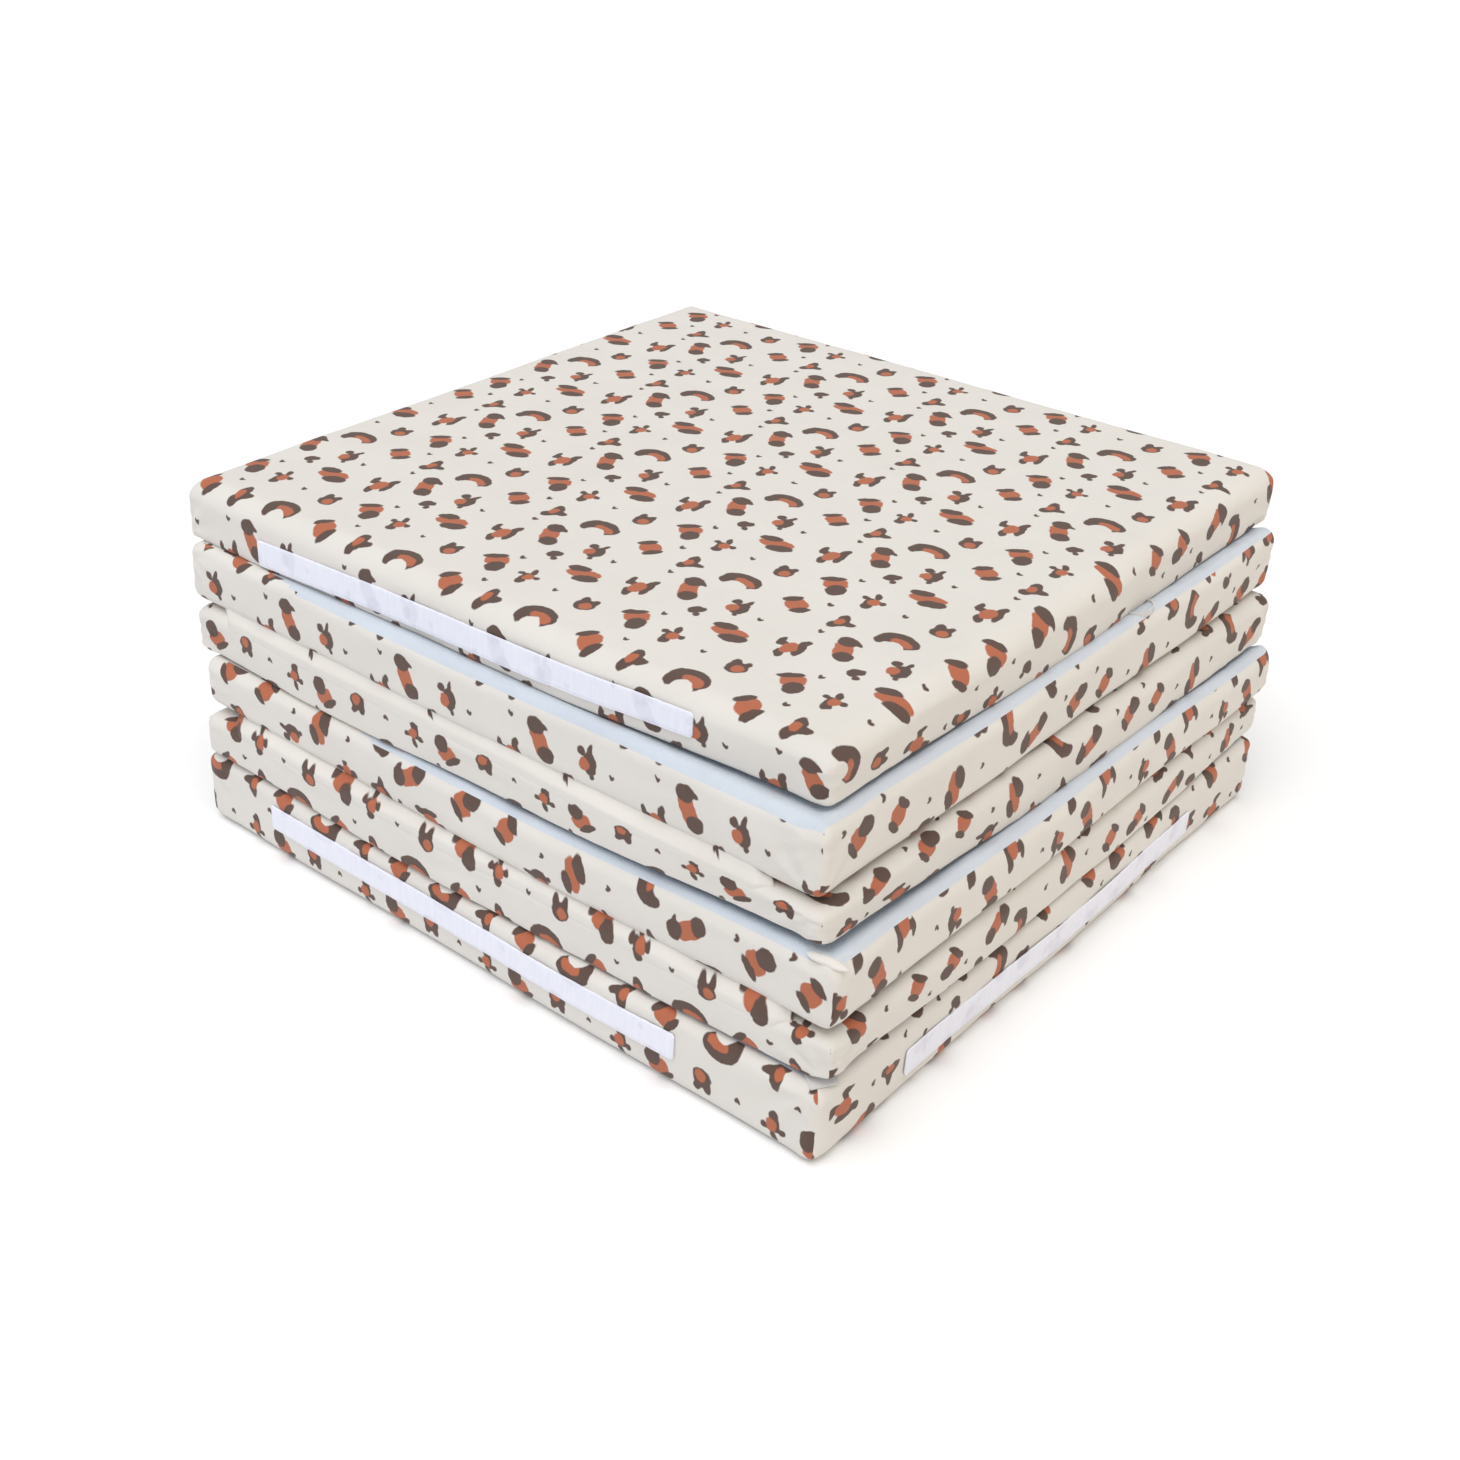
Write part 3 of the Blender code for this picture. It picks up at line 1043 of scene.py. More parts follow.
    def fine_face(self, rim: Array, start: int, height: float, places: Array, top: bool) -> tuple[Array, list[Array]]:
        """One fine grid inside a rim, for the face that shows.

        Args:
            rim: the rim's point numbers, counter-clockwise from the front's left end.
            start: the first new point's number.
            height: of the face.
            places: from -1 to 1 along a side.
            top: whether the face looks up.

        Returns:
            New points, and blocks of faces.
        """
        count, total = self.columns, 4 * self.columns
        size = HALF - self.panel.print_radius
        x, y = np.meshgrid(places[1:-1] * size, places[1:-1] * size)
        inner = np.stack([x, y, 0 * x + height], axis=-1).reshape(-1, 3)
        table = np.zeros((count + 1, count + 1), dtype=int)
        table[1:-1, 1:-1] = start + np.arange(len(inner)).reshape(count - 1, count - 1)
        table[0, :] = rim[(np.arange(count + 1)) % total]
        table[:, -1] = rim[(np.arange(count + 1) + count) % total]
        table[-1, ::-1] = rim[(np.arange(count + 1) + 2 * count) % total]
        table[::-1, 0] = rim[(np.arange(count + 1) + 3 * count) % total]
        cells = self.cells(table)
        return inner, [cells if top else cells[:, ::-1]]

    def rough_face(self, rim: Array, start: int, height: float, places: Array, top: bool) -> tuple[Array, list[Array]]:
        """A few rings inside a rim and a coarse grid in their middle, for a face that the stack hides.

        Args:
            rim: the rim's point numbers, counter-clockwise from the front's left end.
            start: the first new point's number.
            height: of the face.
            places: from -1 to 1 along a side.
            top: whether the face looks up.

        Returns:
            New points, and blocks of faces.
        """
        total = 4 * self.columns
        after = np.roll(np.arange(total), -1)
        points, blocks, outer = [], [], rim
        radius = self.panel.print_radius if top else self.panel.base_radius
        for inset in HIDDEN_INSETS:
            if inset < radius + 2:
                continue
            half = HALF - inset
            ring = np.concatenate([(places[:-1, None] * side.along + side.outward) * half for side in Side])
            points.append(np.concatenate([ring, np.full((total, 1), height)], axis=1))
            inner = start + np.arange(total)
            start += total
            blocks.append(np.stack([outer, outer[after], inner[after], inner], axis=-1))
            outer = inner
        line = np.linspace(-1, 1, self.coarse + 1) * (HALF - self.coarse_inset)
        x, y = np.meshgrid(line, line)
        points.append(np.stack([x, y, 0 * x + height], axis=-1).reshape(-1, 3))
        table = start + np.arange(x.size).reshape(x.shape)
        around = np.concatenate([table[0, :-1], table[:-1, -1], table[-1, :0:-1], table[:0:-1, 0]])
        blocks += [self.cells(table), self.zipper(outer, around)]
        if not top:
            blocks = [block[:, ::-1] for block in blocks]
        return np.concatenate(points), blocks

    @staticmethod
    def cells(table: Array) -> Array:
        """Quads between the points of a table whose rows run up and whose columns run right."""
        quads = np.stack([table[:-1, :-1], table[:-1, 1:], table[1:, 1:], table[1:, :-1]], axis=-1)
        return quads.reshape(-1, 4)

    @staticmethod
    def zipper(fine: Array, rough: Array) -> Array:
        """Triangles between a fine ring and a rough one, several fine gaps to each rough gap.

        Args:
            fine: the outer ring's point numbers.
            rough: the inner ring's point numbers, starting at the same corner.

        Returns:
            Triangles that face up.
        """
        ratio = len(fine) // len(rough)
        middle = ratio // 2
        gaps = np.arange(len(rough))
        first, second = rough, rough[(gaps + 1) % len(rough)]
        made = [np.stack([first, fine[(gaps * ratio + middle) % len(fine)], second], axis=-1)]
        for step in range(ratio):
            start = fine[(gaps * ratio + step) % len(fine)]
            end = fine[(gaps * ratio + step + 1) % len(fine)]
            made.append(np.stack([start, end, first if step < middle else second], axis=-1))
        return np.concatenate(made)

    def make(self, print_cloth: bpy.types.Material, base_cloth: bpy.types.Material) -> bpy.types.Object:
        """Build the panel's piece.

        Args:
            print_cloth: material of the outer cloth.
            base_cloth: material of the inner cloth.

        Returns:
            The object, with one level of subdivision.
        """
        points, faces, uvs, printed, ring_facing = self.build()
        panel = self.panel
        facing = np.zeros_like(points)
        facing[: len(ring_facing)] = ring_facing
        facing[len(ring_facing):, 2] = np.where(points[len(ring_facing):, 2] > 1, 1, -1)
        if not panel.print_up:
            points = points * (1, -1, -1) + (0, 0, panel.thick)
            facing = facing * (1, -1, -1)
        if panel.index in SLIPPED_SEAMS:
            start, end = SLIPPED_SEAMS[panel.index]
            for number, block in enumerate(faces):
                x, y, z = points[block].mean(axis=1).T
                further_in = (z > panel.thick / 2) & (HALF + y < SEAM_SLIP * ease(-x, start, end))
                printed[number] = printed[number] | further_in
        points = self.shaped(points, facing)
        uvs = [panel.on_print(block) for block in uvs]
        points = panel.to_stack(points)
        for fold in FOLDS:
            if fold.panel == panel.index:
                more, quads = fold.surface()
                faces.append(quads + len(points))
                uvs.append((more[quads][..., :2] - more[:, :2].mean(axis=0)) * 0.15 + FOLD_CHART)
                printed.append(np.ones(len(quads), dtype=bool))
                points = np.concatenate([points, more])
        item = new_mesh_object(f"{panel.name}_cover", points, faces, uvs)
        item.data.materials.append(print_cloth)
        item.data.materials.append(base_cloth)
        slots = np.where(np.concatenate(printed), 0, 1).astype(np.int32)
        item.data.polygons.foreach_set("material_index", slots)
        refine = item.modifiers.new("refine", "SUBSURF")
        refine.levels = refine.render_levels = 1
        return item

    def shaped(self, points: Array, facing: Array) -> Array:
        """Swell the sides, crown the top, lift the corners and wrinkle the cloth.

        Args:
            points: the plain panel's points, in its frame.
            facing: the plain panel's normals.

        Returns:
            The moved points.
        """
        panel = self.panel
        x, y, z = points.T
        out_x, out_y = facing[:, 0], facing[:, 1]
        share = z / panel.thick
        moved = points.copy()
        crease = np.abs(2 * share - 1) ** 2
        for side in Side:
            normal = side.outward
            weight = np.maximum(out_x * normal[0] + out_y * normal[1], 0)
            along = x if side in (Side.FRONT, Side.BACK) else y
            beyond = panel.swell(side, along, 1 - 0.5 * crease)
            near_side = ease(normal[0] * x + normal[1] * y, HALF - 60, HALF - TOP_RADIUS)
            push = beyond * np.maximum(weight, 0.6 * near_side)
            corner = ease(np.abs(along), 280, 300) * near_side
            push = np.maximum(push, CORNER_FILL * corner * np.maximum(weight, 0.6))
            folds = self.side_wrinkles(side, along, z) * weight
            moved[:, 0] += normal[0] * (push + folds)
            moved[:, 1] += normal[1] * (push + folds)
        rise = (1 - share) * panel.corner_rise(x, y, panel.under_rise) + share * panel.corner_rise(x, y, panel.top_rise)
        moved[:, 2] += rise
        lift = np.zeros_like(x)
        for side in Side:
            away = np.maximum(HALF - (side.outward[0] * x + side.outward[1] * y), 0.0)
            share_along = {
                Side.FRONT: 0.1 + 0.9 * ease(x, *FRONT_RAMP),
                Side.RIGHT: 1.0 - 0.75 * ease(y, *RIGHT_RAMP),
            }.get(side, 1.0)
            drawn_up = panel.edge_lift[side.number] * share_along * ease(away, EDGE_SLOPE, 0.0)
            lift = np.maximum(lift, drawn_up)
        moved[:, 2] += lift * (1 - share)
        if not panel.print_up:
            ridges = [np.exp(-(((HALF - edge - RIDGE_INSET) / RIDGE_WIDTH) ** 2)) for edge in (-y, x)]
            puff = panel.margin_swell * np.maximum(*ridges) * ease(share, 0.7, 1.0)
            moved[:, 2] += puff * (0.35 + 0.65 * ease(x, *MARGIN_RAMP))
        if panel.index == 0:
            u, v = np.clip(x / HALF, -1, 1), np.clip(y / HALF, -1, 1)
            moved[:, 2] -= TOP_CROWN * (1 - (1 - u * u) * (1 - v * v)) * ease(share, 0.4, 1.0)
            moved[:, 2] += self.top_wrinkles(x, y) * ease(share, 0.9, 1.0)
        return moved

    def side_wrinkles(self, side: Side, along: Array, height: Array) -> Array:
        """Folds of the cover on one side, outwards.

        They are soft unevenness all over, a few long low folds, puckers across the corners' upright
        seams, and small gathers along the base cloth's seam.

        Args:
            side: the side.
            along: place along the side.
            height: over the underside.

        Returns:
            The distance outwards.
        """
        panel = self.panel
        seed = 100 * panel.index + 10 * side.number
        draw = np.random.default_rng(seed)
        total = 0.45 * soft_noise(along, height * 2.2, 90, seed + 1)
        for _ in range(LOW_FOLDS):
            centre, level = draw.uniform(-240, 240), draw.uniform(0.25, 0.75) * panel.thick
            tilt, run = math.radians(draw.uniform(-14, 14)), draw.uniform(28, 60)
            width, lift = draw.uniform(3.5, 6.0), draw.uniform(-0.7, 0.8)
            a = (along - centre) * math.cos(tilt) + (height - level) * math.sin(tilt)
            b = -(along - centre) * math.sin(tilt) + (height - level) * math.cos(tilt)
            total = total + lift * np.exp(-((a / run) ** 2) - (b / width) ** 2)
        ends = np.exp(-(((HALF - np.abs(along)) / PUCKER_REACH) ** 2))
        pucker = soft_noise(np.sign(along) * 50 + along * 0.15, height, 10.5, seed + 2)
        total = total + 0.75 * ends * pucker
        for gather in GATHERS:
            if gather.panel == panel.index and gather.side is side:
                total = total + gather.push(along, height)
        seam = np.abs(np.abs(along) - (HALF - CORNER_SEAM))
        total = total - SEAM_DEPTH * np.exp(-((seam / SEAM_WIDTH) ** 2))
        seam_height = panel.base_radius if panel.print_up else panel.thick - panel.base_radius
        near_seam = np.exp(-(((height - seam_height) / 7) ** 2))
        return total + 0.4 * near_seam * soft_noise(along, 0 * height, 17, seed + 3)

    def top_wrinkles(self, x: Array, y: Array) -> Array:
        """Low unevenness of the top face, upwards."""
        return 0.5 * soft_noise(x, y, 120, 7) + 0.15 * soft_noise(x, y, 45, 8)


# Trim


@dataclass(frozen=True)
class Hinge:
    """The cloth in a crease: the two panels' places, the side, its ends, and how it lies in the crease."""

    name: str
    upper: int
    side: Side
    start: float
    end: float
    reach: float
    inset: float
    dip: float
    wander: float
    columns: int = 220
    rows: int = 16

    def make(self, panels: tuple[Panel, ...], cloth: bpy.types.Material) -> tuple[bpy.types.Object, float]:
        """Lay the strip from the upper panel's edge to the lower panel's.

        Args:
            panels: the stack.
            cloth: its material.

        Returns:
            The object, and the mean length of its columns in millimetres. Columns run slanted where
            the panels lie apart sideways, so there this is more than the width at right angles.
        """
        above, below = panels[self.upper], panels[self.upper + 1]
        place = np.linspace(self.start, self.end, self.columns + 1)
        lay = self.flush if self.side is Side.FRONT else self.tucked
        points, chart = lay(above, below, place)
        faces = grid_faces(self.rows + 1, self.columns + 1)
        item = new_mesh_object(f"{self.name}_cloth", points.reshape(-1, 3), [faces], [chart.reshape(-1, 2)[faces]])
        item.data.materials.append(cloth)
        wall = item.modifiers.new("thickness", "SOLIDIFY")
        wall.thickness = CLOTH_THICK * MM
        wall.offset = -1.0
        width = np.linalg.norm(np.diff(points, axis=0), axis=-1).sum(axis=0).mean()
        return item, float(width)

    def tucked(self, above: Panel, below: Panel, place: Array) -> tuple[Array, Array]:
        """A strip that bridges the crease, drawn in by a sine arch of depth dip.

        Args:
            above: the panel over the crease.
            below: the panel under it.
            place: places along the side.

        Returns:
            Points and chart coordinates, in rows from the top down.
        """
        along, down = np.meshgrid(place, np.linspace(0, 1, self.rows + 1))
        first = above.beside(self.side, along, self.reach + 0 * along, -self.inset + 0 * along, 0.5)
        last = below.beside(self.side, along, below.thick - self.reach + 0 * along, -self.inset + 0 * along, 0.5)
        points = first * (1 - down[..., None]) + last * down[..., None]
        ruffle = 0.5 * soft_noise(along, down * 14, 22, 950 + self.upper) * np.sin(math.pi * down)
        shift = ruffle - self.dip * np.sin(math.pi * down) ** 0.8
        points[..., :2] += self.side.outward * shift[..., None]
        return points, np.stack([along, down * 2 * self.reach], axis=-1)

    def flush(self, above: Panel, below: Panel, place: Array) -> tuple[Array, Array]:
        """A strip that carries the lower panel's face on over its edge, and dips under the upper one.

        Over the plane between the panels, the strip draws in until it passes into the upper panel's
        side, which gives the crease. Its ends turn inwards.

        Args:
            above: the panel over the crease.
            below: the panel under it.
            place: places along the side.

        Returns:
            Points and chart coordinates, in rows from the top down.
        """
        level = np.linspace(9.0, -11.0, self.rows + 1)
        drawn = np.interp(level, [-11, -8, -6, 0, 3, 6, 9], [0.6, 0.1, 0, 0.15, 0.5, 0.8, 1.8])
        drawn = drawn + self.dip * np.interp(level, [-4, 0, 2, 4, 6, 9], [0, 0.25, 0.7, 1.4, 1.9, 2.4])
        along, height = np.meshgrid(place, level)
        drift = self.wander * soft_noise(along, 0 * along, 60, 900 + self.upper) * ease(height, -4, 5)
        to_end = np.minimum(along - self.start, self.end - along)
        inwards = drawn[:, None] + 6.0 * (1 - ease(to_end, 0, 12)) + 0 * along
        upper = above.beside(self.side, along, height + drift, -inwards, 0.8)
        lower = below.beside(self.side, along, below.thick + height + drift, -inwards, 0.8)
        share = ease(height, -1.0, 5.5)[..., None]
        points = upper * share + lower * (1 - share)
        return points, below.side_chart(self.side, along, below.thick + height)


@dataclass(frozen=True)
class Tape:
    """A hook-and-loop tape on a panel's side: its ends and its lower edge's height at each, in mm."""

    name: str
    panel: int
    side: Side
    start: float
    end: float
    low_start: float
    low_end: float
    width: float = 20.0
    thick: float = 1.2
    columns: int = 260
    rows: int = 12
    end_radius: float = 2.0
    edge_round: float = 0.35

    def make(self, panels: tuple[Panel, ...], material: bpy.types.Material) -> bpy.types.Object:
        """Lay the tape on its panel's side, with rounded ends and low ripples.

        Args:
            panels: the stack.
            material: its finish.

        Returns:
            The object.
        """
        panel = panels[self.panel]
        share = np.linspace(0, 1, self.columns + 1)
        length = self.end - self.start
        to_end = np.minimum(share, 1 - share) * length
        short = np.maximum(self.end_radius - to_end, 0)
        trim = self.end_radius - np.sqrt(np.maximum(self.end_radius ** 2 - short ** 2, 0))
        half = self.width / 2 - trim
        across = np.linspace(-1, 1, self.rows + 1)
        along, v = np.meshgrid(self.start + share * length, across)
        offset = v * half[None, :]
        middle = self.low_start + share * (self.low_end - self.low_start) + self.width / 2
        height = middle[None, :] + offset
        ripple = 0.16 * soft_noise(along, offset * 0.2, 11, 40 + self.panel)
        ripple = ripple + 0.3 * soft_noise(along, offset, 70, 60 + self.panel)
        points = panel.beside(self.side, along, height, 1.0 + ripple)
        faces = grid_faces(self.rows + 1, self.columns + 1)[:, ::-1]
        chart = panel.side_chart(self.side, along, height)
        own = np.stack([along, offset], axis=-1)
        item = new_mesh_object(f"{self.name}_band", points.reshape(-1, 3), [faces], [chart.reshape(-1, 2)[faces]])
        item.data.uv_layers.new(name="band").uv.foreach_set(
            "vector", own.reshape(-1, 2)[faces].astype(np.float32).reshape(-1)
        )
        item.data.materials.append(material)
        wall = item.modifiers.new("thickness", "SOLIDIFY")
        wall.thickness = self.thick * MM
        wall.offset = 0.0
        soften = item.modifiers.new("soft_edge", "BEVEL")
        soften.width = self.edge_round * MM
        soften.segments = 2
        soften.limit_method = "ANGLE"
        return item


@dataclass(frozen=True)
class Ribbon:
    """A flat ribbon end in a crease: the corners of its sewn end and its free end, in the tables' frame."""

    name: str
    root_left: tuple[float, float, float]
    root_right: tuple[float, float, float]
    tip_left: tuple[float, float, float]
    tip_right: tuple[float, float, float]
    rise: float
    steps: int = 14
    thick: float = 0.8

    def make(self, material: bpy.types.Material) -> bpy.types.Object:
        """Lay the ribbon straight from its sewn end to its free end, a little arched.

        Args:
            material: its finish.

        Returns:
            The object.
        """
        share = np.linspace(0, 1, self.steps + 1)
        run, across = np.meshgrid(share, share, indexing="ij")
        corners = np.array([self.root_left, self.root_right, self.tip_left, self.tip_right])
        root = corners[0] * (1 - across[..., None]) + corners[1] * across[..., None]
        tip = corners[2] * (1 - across[..., None]) + corners[3] * across[..., None]
        points = root * (1 - run[..., None]) + tip * run[..., None]
        points[..., 2] += self.rise * np.sin(math.pi * run)
        points = points - np.array([MIDDLE_EAST, MIDDLE_NORTH, 0])
        faces = grid_faces(self.steps + 1, self.steps + 1)
        width = np.linalg.norm(corners[1] - corners[0])
        length = np.linalg.norm((corners[2] + corners[3] - corners[0] - corners[1]) / 2)
        chart = np.stack([run * length, across * width], axis=-1)
        return finished_ribbon(f"{self.name}_tab", points, faces, chart, self.thick, material)

    def size(self) -> tuple[float, float]:
        """Width and length in millimetres."""
        corners = np.array([self.root_left, self.root_right, self.tip_left, self.tip_right])
        width = (np.linalg.norm(corners[1] - corners[0]) + np.linalg.norm(corners[3] - corners[2])) / 2
        length = np.linalg.norm((corners[2] + corners[3] - corners[0] - corners[1]) / 2)
        return float(width), float(length)


def finished_ribbon(
    name: str, points: Array, faces: Array, chart: Array, thick: float, material: bpy.types.Material
) -> bpy.types.Object:
    """Give a ribbon's surface its wall and finish.

    Args:
        name: the object's name.
        points: its grid of points.
        faces: its quads.
        chart: its grid of chart coordinates.
        thick: of the wall, in millimetres.
        material: its finish.

    Returns:
        The object.
    """
    item = new_mesh_object(name, points.reshape(-1, 3), [faces], [chart.reshape(-1, 2)[faces]])
    item.data.materials.append(material)
    wall = item.modifiers.new("thickness", "SOLIDIFY")
    wall.thickness = thick * MM
    wall.offset = 0.0
    return item


@dataclass(frozen=True)
class RibbonLoop:
    """A small loop of ribbon that stands on its edge beside the top panel, half an ellipse in plan.

    flat and flat_area are in metres. The ribbon is lower than the least flat size, so its area is given.
    """

    name: str = "loop_1_2"
    east: float = 283.6
    north: float = 95.0
    reach: float = 8.6
    half_length: float = 14.0
    low: float = 228.6
    high: float = 233.0
    thick: float = 1.1
    steps: int = 48
    rows: int = 6
    flat: tuple[float, float] = (0.0355, 0.01)
    flat_area: float = 0.0355 * 0.0044

    def make(self, material: bpy.types.Material) -> bpy.types.Object:
        """Carry the ribbon's height along the half ellipse.

        Args:
            material: its finish.

        Returns:
            The object.
        """
        half_turn = np.linspace(0, math.pi, self.steps + 1)
        angle, up = np.meshgrid(half_turn, np.linspace(0, 1, self.rows + 1), indexing="ij")
        east = self.east + self.reach * np.sin(angle) - MIDDLE_EAST
        north = self.north - self.half_length * np.cos(angle) - MIDDLE_NORTH
        points = np.stack([east, north, self.low + up * (self.high - self.low)], axis=-1)
        faces = grid_faces(self.steps + 1, self.rows + 1)
        chart = np.stack([angle * 11, up * (self.high - self.low)], axis=-1)
        return finished_ribbon(f"{self.name}_ribbon", points, faces, chart, self.thick, material)


# The whole mat


ALL_ROUND = (90, 90, 90, 90)

PANELS = (
    Panel(
        "panel_1", 0, -18.0, 15.2, 0.00, 228.0, 276.5, True,
        under_rise=(8, 1, 0, -2), top_rise=(0, 0, 0, 0), print_turn=0, print_shift=(0.0, 0.0),
        edge_lift=(1.5, 2.5, 2, 1), margin_swell=0.0, seam_turn=ALL_ROUND,
    ),
    Panel(
        "panel_2", 1, -5.6, 2.3, -0.54, 179.5, 227.7, False,
        under_rise=(2, 0, 0, 0), top_rise=(4, -1, 0, -2), print_turn=0, print_shift=(47.4, 4.5),
        edge_lift=(0, 0, 0, 0), margin_swell=4.0, seam_turn=(38, 52, 60, 60),
    ),
    Panel(
        "panel_3", 2, 2.0, -2.7, -0.65, 138.0, 179.2, True,
        under_rise=(12, -2, 1, 4), top_rise=(0, -1, 0, -1), print_turn=180, print_shift=(-28.4, -50.5),
        edge_lift=(8.5, 6.0, 4, 2), margin_swell=0.0, seam_turn=ALL_ROUND,
    ),
    Panel(
        "panel_4", 3, 14.8, -7.8, -0.38, 95.5, 137.7, False,
        under_rise=(3, -2, 0, 4), top_rise=(8, -7, 0, 1), print_turn=-90, print_shift=(35.0, -1.1),
        edge_lift=(0, 0, 0, 0), margin_swell=5.5, seam_turn=(50, 55, 60, 60),
    ),
    Panel(
        "panel_5", 4, 15.8, -13.2, 0.11, 55.0, 95.2, True,
        under_rise=(8, 5, 3, 7), top_rise=(-1, -4, 0, 0), print_turn=0, print_shift=(-12.3, 49.6),
        edge_lift=(1.0, 5.5, 2, 1), margin_swell=0.0, seam_turn=ALL_ROUND,
    ),
    Panel(
        "panel_6", 5, 17.0, -16.6, -0.46, 0.0, 54.7, False,
        under_rise=(0, 0, 0, 0), top_rise=(6, 2, 2, 5), print_turn=180, print_shift=(19.6, 62.0),
        edge_lift=(0, 0, 0, 0), margin_swell=0.0, seam_turn=ALL_ROUND,
    ),
)

HINGES = (
    Hinge("hinge_1_2", 0, Side.BACK, -255, 255, 3.9, 1.6, 0.8, 0.0),
    Hinge("hinge_2_3", 1, Side.FRONT, -270, 258, 8.5, 1.6, 0.7, 0.8),
    Hinge("hinge_3_4", 2, Side.BACK, -255, 255, 3.9, 1.6, 0.8, 0.0),
    Hinge("hinge_4_5", 3, Side.FRONT, -270, 266, 6.0, 3.6, 2.1, 1.6),
    Hinge("hinge_5_6", 4, Side.BACK, -255, 255, 3.9, 1.6, 0.8, 0.0),
)

TAPES = (
    Tape("tape_top_front", 0, Side.FRONT, -214, 197, 3.5, 14.5),
    Tape("tape_base_front", 5, Side.FRONT, -219, 186, 23.5, 23.0),
    Tape("tape_base_right", 5, Side.RIGHT, -204, 191, 15.0, 15.5),
)

RIBBONS = (
    Ribbon("ribbon_3_4", (-7.0, -297.6, 138.2), (3.0, -297.6, 138.2), (-6.4, -305.0, 137.4), (3.6, -305.0, 137.4), 0.2),
    Ribbon(
        "ribbon_5_6", (292.9, -307.0, 61.8), (304.4, -291.6, 61.8), (307.3, -317.6, 60.4), (316.7, -301.7, 61.0), 0.8
    ),
)


class PlayMat:
    """The folded mat: makes every piece, and tells the frame what carries each one and which node it stands for."""

    def __init__(self) -> None:
        """Make the finishes."""
        self.print_cloth = CoverPrint().make()
        self.base_cloth = BaseCloth().make()
        self.tape_finish = LoopTape().make()
        self.ribbon_finish = NarrowRibbon().make()

    def hand_over(self, piece: bpy.types.Object, node: str) -> None:
        """Tell the frame what carries a piece, which node it stands for."""
        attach(piece, "root")
        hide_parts(node)
        LOG.info("%s stands for %s", piece.name, node)

    def build(self) -> None:
        """Make the panels and their trim."""
        for panel in PANELS:
            piece = PanelMaker(panel).make(self.print_cloth, self.base_cloth)
            self.hand_over(piece, panel.name)
        for hinge in HINGES:
            plain = hinge.side is Side.BACK
            piece, width = hinge.make(PANELS, self.base_cloth if plain else self.print_cloth)
            self.hand_over(piece, hinge.name)
            long = (hinge.end - hinge.start) * MM
            wide = max(width * MM, 0.01)
            long * width * MM
        for tape in TAPES:
            piece = tape.make(PANELS, self.tape_finish)
            self.hand_over(piece, tape.name)
        for ribbon in RIBBONS:
            piece = ribbon.make(self.ribbon_finish)
            self.hand_over(piece, ribbon.name)
            wide, long = ribbon.size()
            width, length = (max(value * MM, 0.01) for value in (wide, long))
            true_area = wide * long * MM * MM
        loop = RibbonLoop()
        piece = loop.make(self.ribbon_finish)
        self.hand_over(piece, loop.name)


# Studio


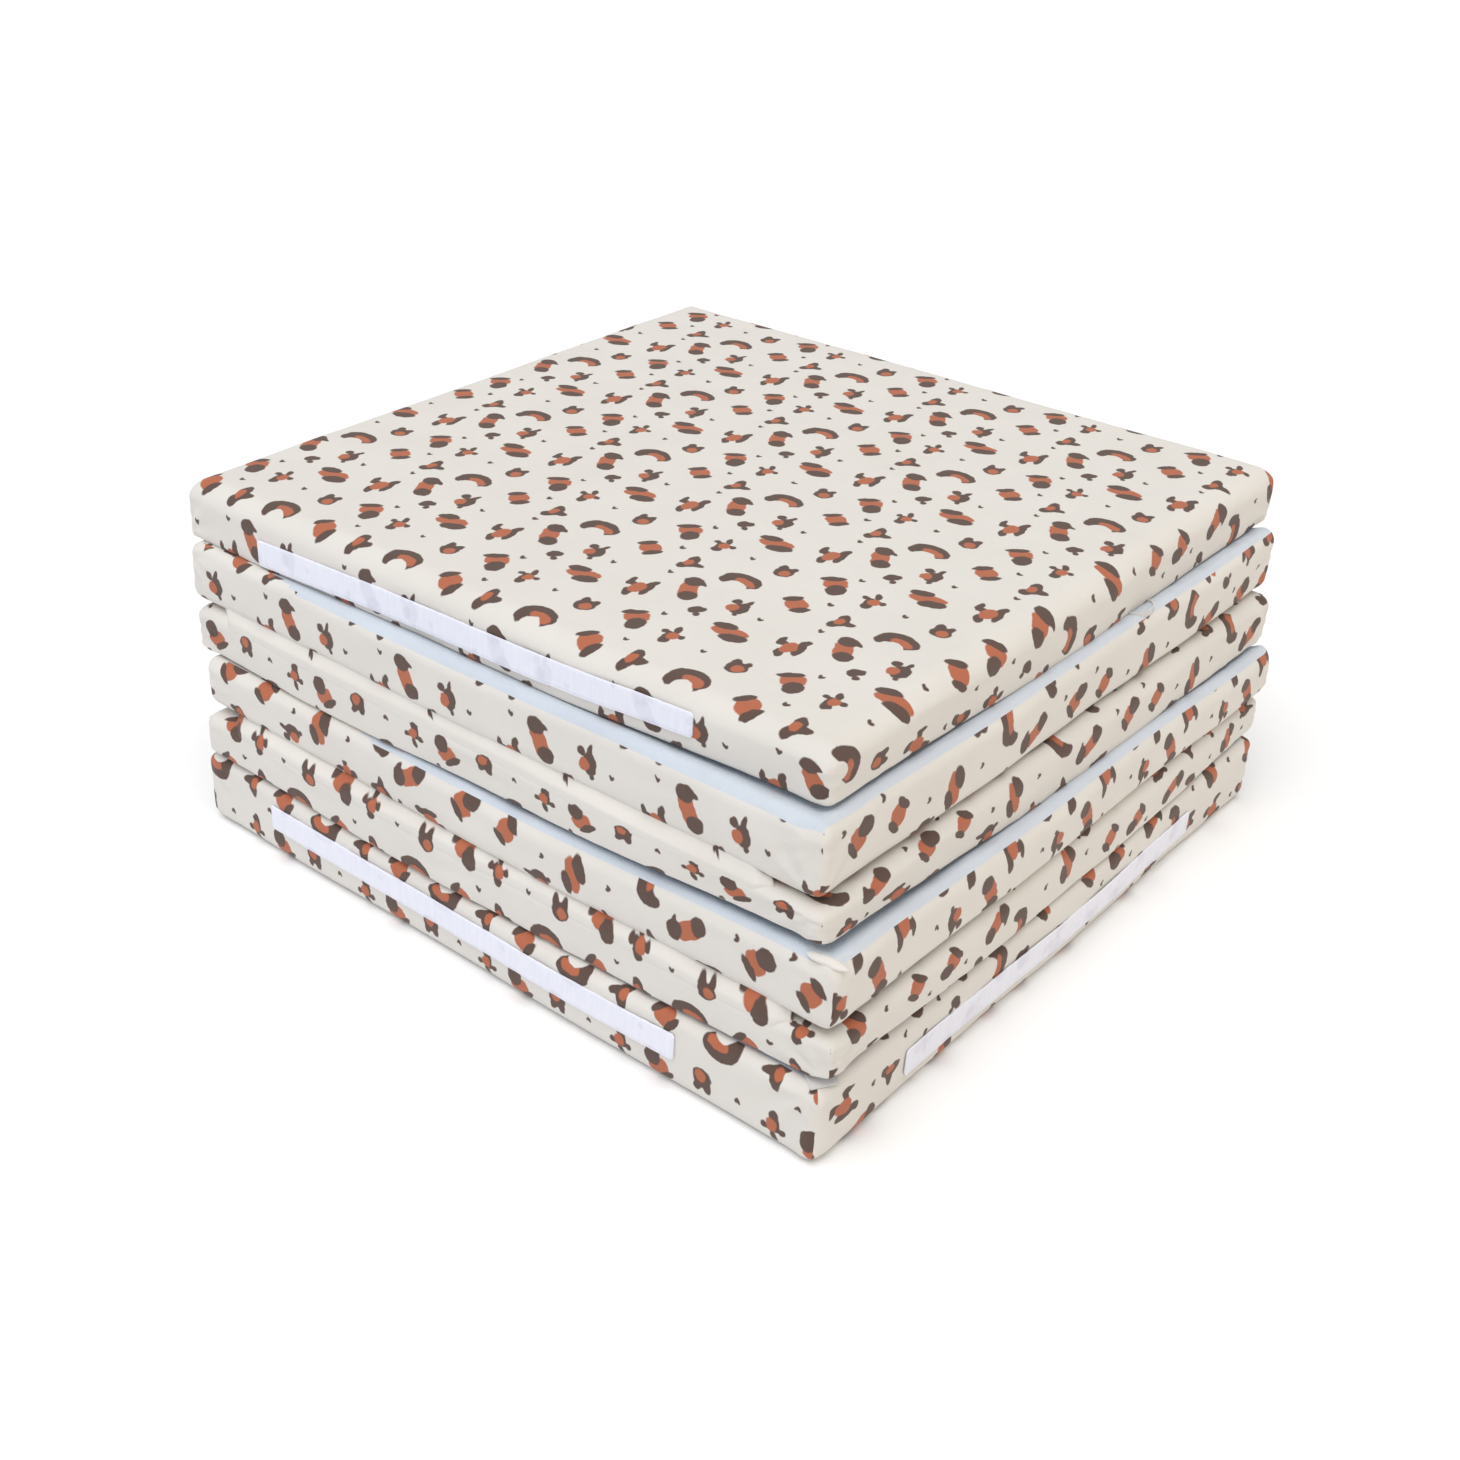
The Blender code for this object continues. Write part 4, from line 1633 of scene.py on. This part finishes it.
@dataclass(frozen=True)
class Studio:
    """A pale floor, soft lights and a camera where the photograph's stood."""

    camera_place: tuple[float, float, float] = (0.79648, -1.07085, 0.83980)
    azimuth: float = 40.04339
    elevation: float = 30.06659
    roll: float = 1.3298
    lens: float = 46.74
    shift: tuple[float, float] = (0.06216, -0.00905)
    aim: tuple[float, float, float] = (0, 0, 0.14)
    floor_half: float = 6000.0
    floor_drop: float = 0.3
    sun_strength: float = 2.02
    sun_spread: float = 55
    surround_strength: float = 0.52

    def camera(self) -> None:
        """Stand the camera up and make it the scene's."""
        a, e, r = (math.radians(value) for value in (self.azimuth, self.elevation, self.roll))
        back = Vector((math.sin(a) * math.cos(e), -math.cos(a) * math.cos(e), math.sin(e)))
        right = Vector((math.cos(a), math.sin(a), 0))
        up = back.cross(right)
        level = right * math.cos(r) + up * math.sin(r)
        upright = up * math.cos(r) - right * math.sin(r)
        data = bpy.data.cameras.new("camera")
        data.lens = self.lens
        data.sensor_width = 36
        data.shift_x, data.shift_y = self.shift
        item = bpy.data.objects.new("camera", data)
        rows = [(level[k], upright[k], back[k], self.camera_place[k]) for k in range(3)]
        item.matrix_world = Matrix((*rows, (0, 0, 0, 1)))
        bpy.context.scene.collection.objects.link(item)
        bpy.context.scene.camera = item

    def lamp(
        self,
        name: str,
        place: tuple[float, float, float],
        size: float,
        power: float,
        colour: tuple[float, float, float],
    ) -> None:
        """Hang a square soft light that looks at the mat.

        Args:
            name: the light's name.
            place: where it hangs, in metres.
            size: of its square, in metres.
            power: in watts.
            colour: of its light.
        """
        data = bpy.data.lights.new(name, "AREA")
        data.size = size
        data.energy = power
        data.color = colour
        item = bpy.data.objects.new(name, data)
        item.location = place
        item.rotation_euler = (Vector(self.aim) - Vector(place)).to_track_quat("-Z", "Y").to_euler()
        bpy.context.scene.collection.objects.link(item)

    def floor(self) -> None:
        """Lay a wide pale floor just under the mat."""
        corners = np.array([(-1, -1), (1, -1), (1, 1), (-1, 1)]) * self.floor_half
        points = np.column_stack([corners, np.full(4, -self.floor_drop)])
        item = new_mesh_object("studio_floor", points, [np.array([[0, 1, 2, 3]])])
        bench = ShaderBench("studio_floor_paper")
        bench.shader.inputs["Base Color"].default_value = (0.93, 0.93, 0.93, 1)
        bench.shader.inputs["Roughness"].default_value = 0.9
        bench.shader.inputs["Specular IOR Level"].default_value = 0.0
        item.data.materials.append(bench.material)

    def build(self) -> None:
        """Make the camera, the floor, the lights and the white surround."""
        self.camera()
        self.floor()
        self.lamp("cool_front_left", (-1.1, -2.3, 0.75), 1.6, 4.0, (0.46, 0.56, 1.0))
        self.lamp("warm_right", (2.4, 0.2, 0.65), 1.4, 5.5, (1.0, 0.62, 0.20))
        high = bpy.data.lights.new("soft_from_above", "SUN")
        high.energy = self.sun_strength
        high.angle = math.radians(self.sun_spread)
        item = bpy.data.objects.new("soft_from_above", high)
        item.rotation_euler = (math.radians(18), 0, math.radians(12))
        bpy.context.scene.collection.objects.link(item)
        world = bpy.data.worlds.new("studio")
        world.use_nodes = True
        surround = world.node_tree.nodes["Background"]
        surround.inputs["Color"].default_value = (1, 1, 1, 1)
        surround.inputs["Strength"].default_value = self.surround_strength
        scene = bpy.context.scene
        scene.world = world
        scene.view_settings.view_transform = "Standard"
        scene.view_settings.look = "None"


def main() -> None:
    """Load the frame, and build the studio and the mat."""
    logging.basicConfig(level=logging.INFO, format="%(message)s")
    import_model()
    Studio().build()
    PlayMat().build()


if __name__ == "__main__":
    main()
